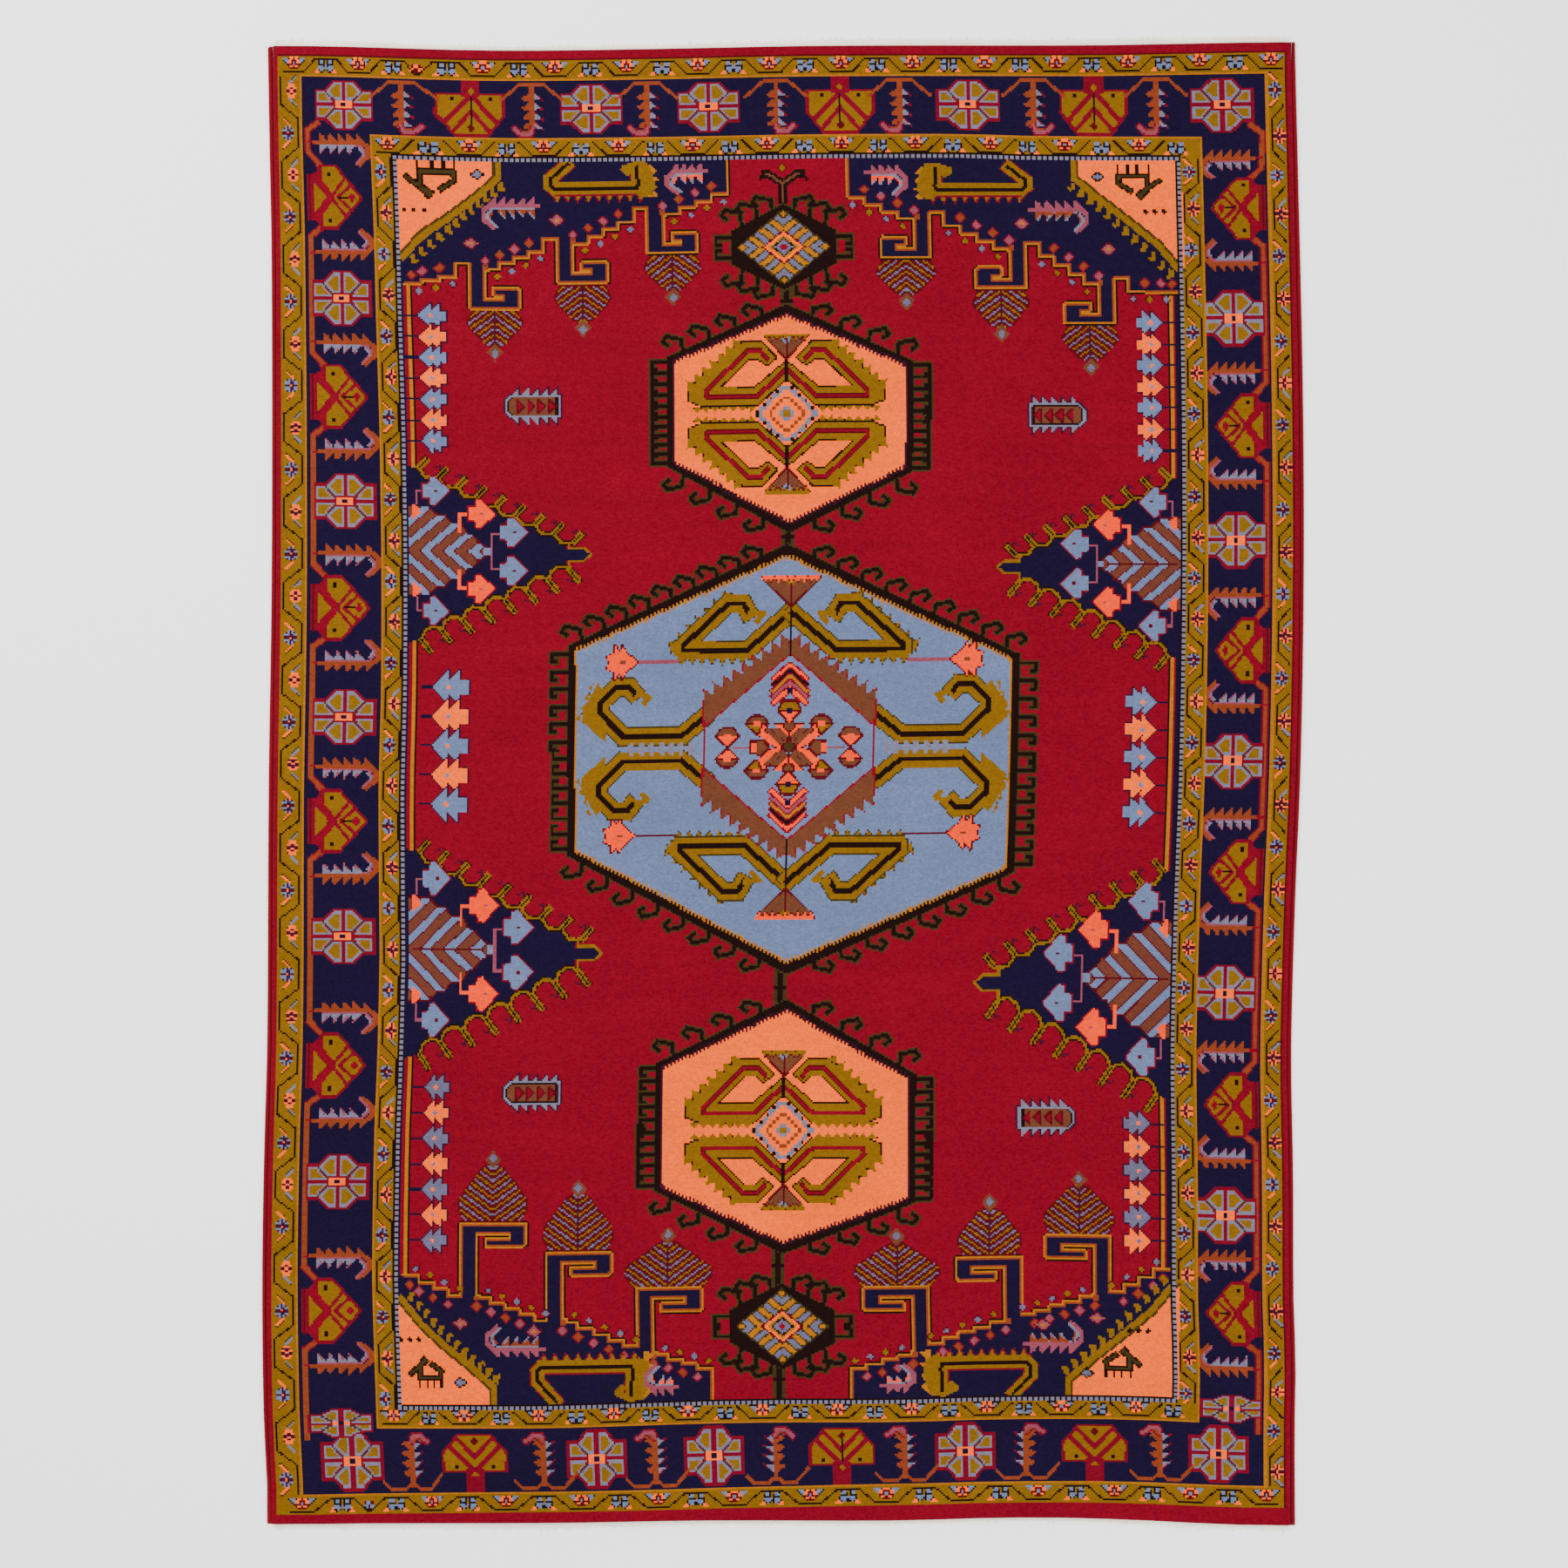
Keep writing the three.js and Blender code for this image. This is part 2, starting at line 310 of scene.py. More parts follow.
def end_guard(chart, low, high, left, right, stops):
    """Gold stripe across the carpet; its meander is up over blue flowers and down under pink ones."""
    chart.pen().box(left, low, right, high, "G")
    share = (high - low) / END_WIDTH
    line = []
    for x, kind in stops:
        flat = END_FLAT if kind in "bp" else BUD_FLAT
        y = high - 1.4 if kind == "b" else low + 1.2
        line += [(x - flat, y), (x + flat, y)]
        if kind == "b":
            guard_blue(chart.pen(x, low + 0.9, 1, share))
        elif kind == "p":
            guard_pink(chart.pen(x, low + 2.4, 1, share))
        else:
            guard_bud(chart.pen(x, low + 1.6), "P" if kind == "s" else "B")
    chart.pen().stroke(line, "K", 0.9)


def side_guard(chart, low, high, bottom, top, stops):
    """Gold stripe along the carpet; blue flowers lie at its low side, pink ones at its high side."""
    chart.pen().box(low, bottom, high, top, "G")
    middle = 4.7 * (high - low) / SIDE_WIDTH
    line = []
    for y, kind in stops:
        x = high - 1.2 if kind == "b" else low + 1.4
        line += [(x, y + SIDE_FLAT), (x, y - SIDE_FLAT)]
        if kind == "b":
            side_flower(chart.pen(low + middle, y), "B", "P", 1)
        else:
            side_flower(chart.pen(high - middle, y), "P", "L", -1)
    chart.pen().stroke(line, "K", 0.9)


# Latch hooks as paths from the medallion's edge: +x points away from the medallion
SIDE_HOOK = [(-2, 0), (8.6, 0), (8.6, -4.2), (6, -4.2)]
SLOPE_HOOK = [(-1.6, -3), (-0.4, 5), (7.6, 6.8), (9.6, 3.8), (6.6, 1.6)]
# Where a hooked ground's corners lie outside its hexagon's, in widths of the rim
RIM_SHIFTS = ((0, 1.5), (1, 0.6), (1, -0.6), (0, -1.5), (-1, -0.6), (-1, 0.6))


def hooked_ground(chart, corners, counts, rim):
    """Black ground of a medallion with olive-edged hooks, counted for a side, an upper and a lower slope."""
    top, right_top, right_low, bottom, left_low, left_top = corners
    side_count, upper_count, lower_count = counts
    half = side_count // 2
    hooks = []
    for side, upper, lower in ((1, right_top, right_low), (-1, left_top, left_low)):
        out = side * rim
        mid = (upper[1] + lower[1]) / 2
        rows = (
            (SIDE_HOOK, (upper[0] + out, upper[1] + 3), (upper[0] + out, mid), half, 1),
            (SIDE_HOOK, (lower[0] + out, mid), (lower[0] + out, lower[1] - 3), side_count - half, -1),
            (SLOPE_HOOK, (top[0] + out * 2, top[1] + 1), (upper[0] + out, upper[1] + 4), upper_count, 1),
            (SLOPE_HOOK, (bottom[0] + out * 2, bottom[1] - 1), (lower[0] + out, lower[1] - 4),
             lower_count, -1))
        hooks += [(chart.pen(*place, side, up), path) for path, start, end, count, up in rows
                  for place in between(start, end, count)]
    for pen, path in hooks:
        pen.stroke(path, "V", 3.8)
    ground = [(x + rim * u, y + rim * v) for (x, y), (u, v) in zip(corners, RIM_SHIFTS)]
    chart.pen().edge(ground, "V", 1.4)
    chart.pen().fill(ground, "K")
    for pen, path in hooks:
        pen.stroke(path, "K", 1.9)


# Pitch of the finest stepped work, in knots
FINE_STEP = 1.9


def comb_edge(chart, corners, yarn):
    """Fine teeth of one or two knots along the slopes and sides of a hexagon."""
    for start, end in zip(corners, corners[1:] + corners[:1]):
        count = int(max(abs(end[0] - start[0]), abs(end[1] - start[1])) / FINE_STEP)
        for place in between(start, end, count):
            chart.pen(*place).box(-0.5, -1.5, 0.5, 1.5, yarn)


def toothed(pen, start, end, count, reach, yarn, edge, lean=0.0):
    """Triangular teeth on a line, to its left seen from start to end."""
    length = math.hypot(end[0] - start[0], end[1] - start[1])
    ux, uy = (end[0] - start[0]) / length, (end[1] - start[1]) / length
    pitch = length / count
    for grow, tone in ((0.7, edge), (0.0, yarn)):
        for k in range(count):
            s = k * pitch
            tip = s + pitch * (0.5 + lean)
            tooth = ((s - grow, -1.5), (tip, reach + grow), (s + pitch + grow, -1.5))
            pen.fill([(start[0] + ux * along - uy * out, start[1] + uy * along + ux * out)
                      for along, out in tooth], tone)


def triangle_fan(pen, half_wide, high, saw, heart):
    """Brown fan on its point with a saw edge along the top and a small heart."""
    pen.fill([(-half_wide - 1, high + 0.6), (half_wide + 1, high + 0.6), (0, -1.4)], "D")
    pen.fill([(-half_wide + 0.6, high - 0.6), (half_wide - 0.6, high - 0.6), (0, 0.8)], "W")
    pen.fill([(-3.8, high - 0.4), (3.8, high - 0.4), (0, high - 4.4)], heart)
    pen.stroke([(0, 1), (0, high)], "D", 0.8)
    toothed(pen, (half_wide, high), (-half_wide, high), 9, 2.4, saw, "D")
    pen.box(-half_wide, high - 0.4, half_wide, high + 0.8, saw)


# Core paths of the toothed arms inside the three hexagons, for the upper left quarter
SMALL_ARM = [(0, 24.2), (-15.9, 9.6), (-43.6, 9.6), (-44, 12.6), (-21.5, 34.2), (-14.2, 34.2), (-10, 29.4)]
TALL_ARM = [(0, 73.4), (-22, 53), (-55.2, 53.2), (-55.2, 55.6), (-32.3, 78.2), (-24.6, 78.2), (-21.4, 72.4)]
SIDE_ARM = [(-45, 17.3), (-57.6, 6.8), (-89.2, 6.8), (-102.2, 20), (-102.2, 25), (-93.7, 33.5),
            (-86.5, 33.8), (-83.3, 29.8)]
SMALL_ARM_BODY = [(-15.6, 4.8), (-46, 4.8), (-53, 7.6), (-53, 14), (-24, 39), (-14, 39), (-5.6, 30.4),
                  (-11, 26.4), (-15, 29.8), (-21, 29.8), (-36.6, 14.6), (-17, 14.4), (0, 28.4), (0, 19.8)]


def peach_hexagon(chart, corners, middle):
    """Peach hexagon with a stepped diamond and four toothed arms."""
    hooked_ground(chart, corners, (11, 4, 4), 3.6)
    chart.pen().fill(corners, "P")
    comb_edge(chart, corners, "X")
    pen = chart.pen(*middle)
    for arm in pen.quarters():
        arm.edge(SMALL_ARM_BODY, "K", 1.6)
        toothed(arm, (-51, 5.6), (-17, 5.6), 7, -4.4, "G", "K")
        toothed(arm, (-23, 38), (-52.6, 12), 7, -6.4, "G", "K")
        arm.fill(SMALL_ARM_BODY, "G")
        arm.layers(SMALL_ARM, ("D", 2.8), ("R", 1.6))
    stepped_diamond(chart, middle, 18.5, 17)
    for half in (pen, pen.scaled(-1, -1)):
        half.stroke([(0, 17.6), (0, 30)], "K", 1.3)
        triangle_fan(half.at((0, 29.6)), 11.6, 12.4, "G", "B")


# Rings of the stepped diamond: each yarn with its inner edge, as a share of the diamond's reach
DIAMOND_RINGS = (("K", 0.84), ("L", 0.74), ("P", 0.62), ("U", 0.46), ("P", 0.3), ("L", 0.15), ("G", 0))
RING_WIDTH = 0.16


def stepped_diamond(chart, middle, half_wide, half_high):
    """Concentric stepped rings; the outer ring is checked with its neighbour's yarn."""
    rows, cols, xs, ys = chart.window(middle[0] - half_wide, middle[1] - half_high,
                                      middle[0] + half_wide, middle[1] + half_high)
    bx = np.floor((xs - middle[0]) / FINE_STEP)
    by = np.floor((ys - middle[1]) / FINE_STEP)
    reach = (np.abs(bx + 0.5) * FINE_STEP) / half_wide + (np.abs(by + 0.5) * FINE_STEP) / half_high
    cells = chart.cells[rows, cols]
    for yarn, inner in DIAMOND_RINGS:
        cells[(reach <= min(inner + RING_WIDTH, 1)) & (reach > inner)] = CODE[yarn]
    cells[(reach <= 1) & (reach > DIAMOND_RINGS[0][1]) & (bx % 2 == 0)] = CODE[DIAMOND_RINGS[1][0]]


def bud(pen, top, low, heart):
    """Lens-shaped bud in two colours on a short stem, above y = 0."""
    pen.fill(upright([(1, -7.6), (7.2, 0), (4, 5.4), (2, 6.4)]), "D")
    pen.fill(upright([(5.4, 0.6), (3.2, 4.4)]), top)
    pen.fill([(-5.4, -0.6), (5.4, -0.6), (0, -6.4)], low)
    pen.box(-1.7, -1.5, 1.7, 1.5, heart)


def cross_rosette(pen):
    """Coral and brown star of slanting petals round a gold diamond."""
    for quarter in pen.quarters():
        for points, tone in (
                ([(2, 3), (14, 12.2), (16.4, 6.6), (9.6, 1), (4.6, 0)], "C"),
                ([(0, 4), (6.4, 10.6), (8, 12.6), (3, 12.6), (0, 8.6)], "C"),
                ([(1.6, 2.6), (11.8, 10.6), (12.6, 8.4), (4.4, 1.2)], "W"),
                ([(2, 3.2), (10.6, 10.2), (5.6, 10.2), (0.6, 5.6)], "W")):
            quarter.fill(shrunk(points, 1.16), "D")
            quarter.fill(points, tone)
    for half in pen.sides():
        half.fill(whole([(9.8, 0), (14, 4.6), (21, 4)]), "D")
        half.fill(whole([(11.4, 0), (14.6, 3.4), (17.4, 3.4)]), "W")
        half.box(17.4, -2.4, 20.6, 2.4, "C")
    for half in pen.ups():
        half.fill(upright([(3.4, 13.6), (3.4, 10.6), (0, 7.4)]), "D")
        half.fill(upright([(2.4, 13), (2.4, 10.8), (0, 8.8)]), "W")
    pen.diamond(0, 0, 4.6, 4.2, "D")
    pen.diamond(0, 0, 3.2, 2.8, "V")


def arrow_leaf(pen, yarn, heart):
    """Leaf with two pairs of barbs, its point at x = 0 and its tail along +x."""
    shape = whole([(0, 0), (9, 9.6), (8.8, 3.8), (15.4, 9.4), (15.2, 3.6), (19.8, 3.8)])
    pen.edge(shape, "X", 1.5)
    pen.fill(shape, yarn)
    pen.diamond(9, 0, 1.9, 1.9, heart)


def coral_flower(pen):
    """Small jagged flower on a thin stem, its stem running along +x."""
    shape = whole([(0, 0), (-6, 5), (-8.6, 9), (-9.6, 5.6), (-12.6, 9.4), (-13, 5), (-16.6, 3.4), (-15.6, 0)])
    pen.layers([(0, 0), (22, 0)], ("I", 1.8), ("D", 0.6))
    pen.edge(shape, "D", 1.4)
    pen.fill(shape, "C")
    pen.box(-9.6, -0.6, -6.8, 0.6, "W")


def boat(pen):
    """Brown comb with red wedges, rounded at its left end and saw-edged above and below."""
    body = whole([(-15, 2.6), (-12, 5.6), (14.6, 5.6)])
    pen.edge(body, "X", 3)
    for half in pen.ups():
        for k in range(5):
            x = -11 + k * 5.2
            half.fill([(x - 2, 5), (x + 3.8, 11.4), (x + 4.2, 5)], "X")
            half.fill([(x - 0.6, 6), (x + 3.2, 9.8), (x + 3.2, 6)], "L")
    pen.edge(body, "L", 1.3)
    pen.fill(shrunk(body, 0.94), "K")
    pen.fill(shrunk(body, 0.86), "W")
    for k in range(4):
        x = -9.4 + k * 5.8
        pen.fill(whole([(x, 4), (x + 1.2, 4), (x + 5.2, 0)]), "D")
        pen.fill(whole([(x + 0.8, 2.8), (x + 3.8, 0)]), "R")


# Gold line from the heel of one slope bar round a red finger, on the far slope and on the near one
FAR_ARCH = [(0, 0), (3.6, -4.8), (8, -5.2)]
NEAR_ARCH = [(0, 0), (1.6, -4.4), (5.4, -7.2), (9, -7)]


def half_medallion(pen):
    """Navy half medallion growing along +x from the side line at x = 0, with bars along its slopes."""
    slopes = ((1, (4, 44.8), (88, 4.6), (4.4, 4.6), FAR_ARCH, 8),
              (-1, (5, 48.4), (86, 10), (5, 6.2), NEAR_ARCH, 7))
    lines, bars = [], []
    for side, start, end, lean, arch, count in slopes:
        heels = between(start, end, count, 0) + [end]
        line = [(x + u, y + v) for x, y in heels[:-1] for u, v in arch] + heels[-1:]
        lines.append(mirrored(line, 1, side))
        bars += [mirrored([(x, y), (x + lean[0], y + lean[1])], 1, side) for x, y in heels]
        for x, y in heels[1:]:
            curl = [(x - 1.4, y + 5.4), (x + 1.2, y + 6.6), (x + 1.6, y + 3.4), (x - 0.4, y + 2)]
            pen.scaled(1, side).stroke(curl, "X", 0.9)
    apex = [(84.6, 5), (84.6, -10)]
    pen.fill([(-2.6, 46)] + lines[0][:-1] + apex + lines[1][-2::-1] + [(-2.6, -50)], "N")
    for yarn, line_width, bar_width in (("K", 2.9, 4.2), ("G", 1.5, 3.1)):
        for line in lines:
            pen.stroke(line, yarn, line_width)
        for bar in bars:
            pen.stroke(bar, yarn, bar_width)
    for bar in bars:
        pen.stroke(bar, "K", 0.9)
    pen.stroke([(85.6, 5), (85.6, -10.6)], "G", 1.4)
    pen.fill([(85, 2), (94, 2), (98.8, -1.8), (94, -5.8), (85, -5.8)], "G")
    pen.fill([(84, 0.8), (93.6, 0.8), (97, -1.8), (93.6, -4.6), (84, -4.6)], "N")
    half_medallion_tree(pen)


def half_medallion_tree(pen):
    """Striped tree along the middle of a half medallion with six leaves on bent stems."""
    shape = whole([(-1.6, 24), (9, 24), (14, 19.6), (18, 19.6), (22, 15), (27, 15), (31, 9), (33, 9),
                   (36.6, 5), (41, 2.4)])
    pen.stripes(shape, "BBBBBDQQQQQQD", 1.03, lambda x, y: 103 + x - np.abs(y) * 1.2)
    pen.stroke([(0, 0), (38, 0)], "D", 0.8)
    pen.stroke(shape, "D", 0.9)
    pen.box(39.6, -1.8, 43.6, 1.8, "B")
    for half in pen.ups():
        half.fill([(0, 24.8), (2, 25), (5, 20.6), (0, 17)], "C")
        half.stroke([(2.6, 25), (2.6, 32.6), (8, 32.6)], "I", 1.2)
        half.stroke([(26.4, 11), (26.4, 20), (31, 20)], "C", 1.8)
        half.stroke([(43.4, 0), (43.4, 9.6), (49, 9.6)], "I", 1.5)
        for x, y, yarn in ((20.6, 32.6, "B"), (45.6, 20.4, "C"), (63, 10.4, "B")):
            spade(half.at((x, y)), yarn)


def spade(pen, yarn):
    """Small leaf of a square block and a wide triangle, its point at the origin."""
    shape = whole([(0, 0), (-8, 7.8), (-10.6, 7.2), (-11, 4), (-14.6, 3.6)])
    pen.edge(shape, "E", 1.4)
    pen.fill(shape, yarn)
    pen.box(-8, -0.6, -6, 0.6, "I" if yarn == "C" else "D")


def fir_leaf(pen, wide, high):
    """Striped leaf that stands on a hook's far side and tapers to a small diamond."""
    half = [(0, -1.8), (wide * 0.82, -1.8), (wide, -7.6), (wide * 0.97, -high * 0.4), (6, 6 - high),
            (0, 3 - high)]
    shape = half + mirrored(half, -1)[::-1]
    pen.stroke(shape, "D", 1.2)
    pen.stripes(shape, "SDDGDD", 1.05, lambda x, y: 40 - y - np.abs(x) * 0.72)
    pen.stroke([(0, -1.8), (0, 5 - high)], "X", 0.9)
    pen.diamond(0, 1 - high, 4.4, 5, "W")
    pen.diamond(0, 0.4 - high, 2.2, 2.6, "S")


# Outlines of the square hooks from the riser before them to the step behind, with the far side at y = 0
FAR_HOOK = [(-12.9, 0.4), (13, 0.4), (13, 9.2), (12, 10.3), (0.4, 10.3), (0.4, 7), (5.2, 7), (5.2, 3.8),
            (-5.6, 3.8)]
NEAR_HOOK = [(-16.6, 0.4), (17.6, 0.4), (17.6, 10.4), (16.4, 11.4), (-3, 11.4), (-3, 8.2), (10, 8.2),
             (10, 4.2), (-9, 4.2)]
NOTCH = [(-21.6, 24.6), (-12.9, 24.6)]
LAST_RISE = 7.2
# Steps of the stair before each hook and after the last
FAR_STEPS = (3, 4, 4, 4)
NEAR_STEPS = (4, 5, 5, 4)


def stair_path(hooks, start, end, low):
    """Stepped line from the field's side round each hook to the middle, with the left end of each tread."""
    path, treads = [], []
    x, y = start
    shape = NEAR_HOOK if low else FAR_HOOK
    for hook, count in zip(hooks + [None], NEAR_STEPS if low else FAR_STEPS):
        if hook is None:
            stop, last = end
        elif low:
            stop, last = hook[0] + shape[0][0], hook[1] + hook[2]
        else:
            stop, last = hook[0] + NOTCH[0][0], hook[1] + NOTCH[0][1] - LAST_RISE
        for k in range(count):
            left, right = x + (stop - x) * k / count, x + (stop - x) * (k + 1) / count
            level = y + (last - y) * k / (count - 1)
            path += [(left, level), (right, level)]
            treads.append((left, level))
        if hook is not None:
            corners = shape if low else NOTCH + shape
            path += [(hook[0] + px, hook[1] + py) for px, py in corners]
            x, y = path[-1][0], hook[1] + hook[3]
            path.append((x, y))
    return path, treads


def spandrel(pen, low, corner, start, end, hooks):
    """Navy corner of the field with its stepped edge, hooks and leaves."""
    cx, cy = corner
    path, treads = stair_path(hooks, start, end, low)
    path = path + [(end[0], cy + 1)]
    pen.layers(path, ("K", 4.2), ("O", 2.9))
    pen.fill([(-cx - 7, cy + 1), (-cx - 7, start[1] - 1), (start[0], start[1] - 1)] + path, "N")
    pen.stroke(path, "U", 0.9)
    for k, (x, y) in enumerate(treads):
        high = (x + 0.6 + (3 if k == 0 else 0), y + 4)
        under = (x + 7, y - 4.6)
        pen.diamond(*high, 3.2, 3.2, "E")
        pen.diamond(*high, 2.3, 2.3, "UI"[k % 2])
        pen.diamond(*under, 2.7, 2.5, "D")
        pen.diamond(*under, 1.9, 1.8, "SG"[k % 2])
    for hook in hooks:
        fir_leaf(pen.at(hook[:2]), *hook[4:])


# Long edge of a peach corner, and the teeth along it
SLANT = [(-8, -51), (3.3, -37.9), (17.4, -26.7), (31.6, -16), (41.6, -7.2)]
SLANT_TEETH = 12


def peach_corner(pen, corner, grow, beast, beast_size, mark):
    """Peach triangle with a gold scalloped edge, a beast, a small eye and three small diamonds."""
    cx, cy = corner
    slant = [(x * grow[0] - cx, y * grow[1] + cy) for x, y in SLANT] + [(SLANT[-1][0] * grow[0] - cx, cy + 1)]
    pen.stroke([(x + 1.4, y - 1.2) for x, y in slant], "G", 4.6)
    for k, (x, y) in enumerate(between(slant[0], slant[4], SLANT_TEETH, 0.6)):
        share = (k + 0.6) / SLANT_TEETH
        tooth = pen.at((x + 3.4, y - 3 + 2.2 * math.sin(math.pi * share)))
        tooth.fill([(0, 0), (0.4, -3.6), (3.6, -4.2), (4.4, -1.8), (2.8, -2.2), (2.6, 1.4)], "G")
    pen.fill([(-cx - 8, cy + 1)] + slant, "P")
    pen.stroke(slant, "V", 1.3)
    corner_beast(pen.at(beast), beast_size)
    pen.diamond(*mark, 4.4, 3.4, "K")
    pen.diamond(*mark, 3, 2.1, "S")
    for step in (-5, 0, 5):
        pen.diamond(beast[0] - 11.6 + step, beast[1] - 20.4, 1.5, 1.7, "K")


def corner_beast(pen, size):
    """Small plain beast with its feet to the border, in olive and black."""
    for x in (-9, -2.6, 2.6, 8):
        pen.stroke([(x * size, 0), (x * size, 7.4 * size)], "K", 1.2)
    for width, yarn in ((3.6, "K"), (1.5, "V")):
        for line in ([(-8.4, 0.6), (7.4, 0.6), (8, -4), (0.8, -9)], [(-8, 1), (-8, -8), (-4, -12.6)],
                     [(-15, -2.4), (-3, -11.4)]):
            pen.scaled(size, size).stroke(line, yarn, width)


def gold_bar(pen, wide, high):
    """Gold bar with a black heart, bent towards the border at both ends and saw-toothed on its other side."""
    bar = pen.scaled(wide, high)
    path = [(-18, -0.6), (-27.7, -9), (-27.7, -12.5), (-25.4, -14.3), (19.4, -14.3), (20.3, -12.5),
            (19.4, -2.6)]
    base = path[3][1] * high - 1.6
    for k in range(9):
        x = (k * 5.7 - 26) * wide
        pen.fill([(x - 1.6, base), (x + 1.6, base - 6.6), (x + 4.6, base - 1.6), (x + 4.6, base)], "E")
        pen.fill([(x - 0.6, base), (x + 2, base - 5.4), (x + 4, base - 1), (x + 4, base)], "G")
    for k in range(4):
        bar.fill([(26, -1 - k * 4.4), (31.2, -5.6 - k * 4.4), (26, -6.6 - k * 4.4)], "O")
    bar.stroke(path, "E", 8)
    lobe = [(19.4, 0.5), (25.3, -0.1), (28.3, -6), (29.5, -13), (28.3, -18), (23.6, -19.8), (19.4, -17.8)]
    sink = 14.3 * (high - 1) * 0.5
    pen.fill([(x * wide, y * (1 + high) / 2 - sink * 0.3) for x, y in lobe], "G")
    bar.stroke(path, "G", 7)
    bar.stroke([(19, -1.4), (12.6, -3.6), (15, -6)], "G", 3.8)
    bar.stroke(path, "K", 2)


def oval_flower(pen, x, y):
    pen.diamond(x, y, 5, 3.8, "D")
    pen.diamond(x, y, 4, 2.9, "I")
    pen.diamond(x, y, 1.4, 1.1, "O")


# The four navy corners, each with its own places: mirror signs, corner, ends of the stair, hooks, the peach
# corner's growth, beast, its size and eye, the gold bar's place and growth, two combs and two flowers.
# A hook has its place, the last tread's rise before it, the next one's level and its leaf's width and height.
CORNERS = (
    (1, 1, (200, 339.5), (-205.2, 273.6), (-31.5, 321.4),
     [(-159, 260.4, 0, 21.6, 14.8, 25), (-111, 274.3, 0, 21.6, 14.8, 26), (-61.7, 289.6, 0, 21.4, 15, 25)],
     (1, 1), (-188, 333.5), 1, (-167.6, 332.9), (-100, 339.5), (1, 1),
     (-133, 315.2), (-41, 332.9), (-124.6, 308.1), (-171.7, 295.5)),
    (-1, 1, (208.6, 338.6), (-213.9, 266.4), (-35.1, 318.6),
     [(-165.4, 249.6, 0, 21.6, 15, 25), (-117, 268.8, 0, 21.6, 15, 26), (-65.5, 285.6, 0, 21.4, 16, 25)],
     (1.16, 1.2), (-190, 330), 1, (-171, 330), (-103, 336.6), (1.04, 1),
     (-133, 310.6), (-43.6, 330.8), (-129, 303.6), (-176, 289.6)),
    (1, -1, (200, 336), (-204.7, 266.8), (-37.2, 318.3),
     [(-155.5, 237.9, 39.6, 40.6, 18.4, 36), (-108.9, 254, 37, 38, 18.7, 36),
      (-59.7, 274.3, 31.6, 36.4, 23.6, 30)],
     (1.03, 1.11), (-190, 321), 0.8, (-173.2, 324), (-101.5, 336), (1.08, 1.42),
     (-126.8, 305), (-54.2, 327.4), (-132.9, 296.3), (-172.8, 291.9)),
    (-1, -1, (209, 336), (-213, 264.6), (-39.9, 318.3),
     [(-163.8, 247.5, 30.4, 33.4, 19, 32), (-115.1, 258.9, 31.8, 35.4, 17, 31),
      (-64.6, 274.4, 31, 37, 23.2, 29)],
     (1.2, 1.27), (-184, 318), 0.8, (-167.2, 321.7), (-108.6, 336), (1.02, 1.42),
     (-133, 305.6), (-55, 327.4), (-143.8, 295.6), (-173.3, 291.5)))


def draw_spandrels(chart):
    for (side, up, corner, start, end, hooks, grow, beast, beast_size, mark, bar, bar_grow,
         long_comb, short_comb, first, second) in CORNERS:
        low = up < 0
        pen = chart.pen(0, 0, side, up)
        spandrel(pen, low, corner, start, end, hooks)
        peach_corner(pen, corner, grow, beast, beast_size, mark)
        gold_bar(pen.at(bar), *bar_grow)
        comb(pen.at(long_comb).scaled(-1), 5, 5.3, "I", "U", "L")
        comb(pen.at(short_comb).scaled(-1), 3 if low else 4, 4.4, "I", "C", "L")
        oval_flower(pen, *first)
        oval_flower(pen, *second)


def medallion_diamond(chart, x, y, half_wide, half_high):
    """Small black medallion with a rhomb of gold and grey blocks and hooks all round."""
    corners = [(x, y + half_high), (x + half_wide, y + 8), (x + half_wide, y - 8), (x, y - half_high),
               (x - half_wide, y - 8), (x - half_wide, y + 8)]
    hooked_ground(chart, corners, (2, 3, 3), 1.4)
    ax, ay = half_wide - 2.6, half_high - 1.6
    pen = chart.pen(x, y)
    pen.diamond(0, 0, ax + 1.2, ay + 1.2, "V")

    def wedge(px, py):
        u, v = px / ax + py / ay, px / ax - py / ay
        return np.where(np.abs(u) > np.abs(v), v, u) + 1

    tones = "OOOVSSSV" * 4 + "OOO"
    pen.stripes([(-ax, 0), (0, ay), (ax, 0), (0, -ay)], tones, 2 / len(tones), wedge)
    for yarn, share in (("D", 0.5), ("P", 0.43), ("O", 0.34), ("K", 0.27), ("S", 0.21), ("R", 0.1)):
        pen.diamond(0, 0, ax * share, ay * share, yarn)


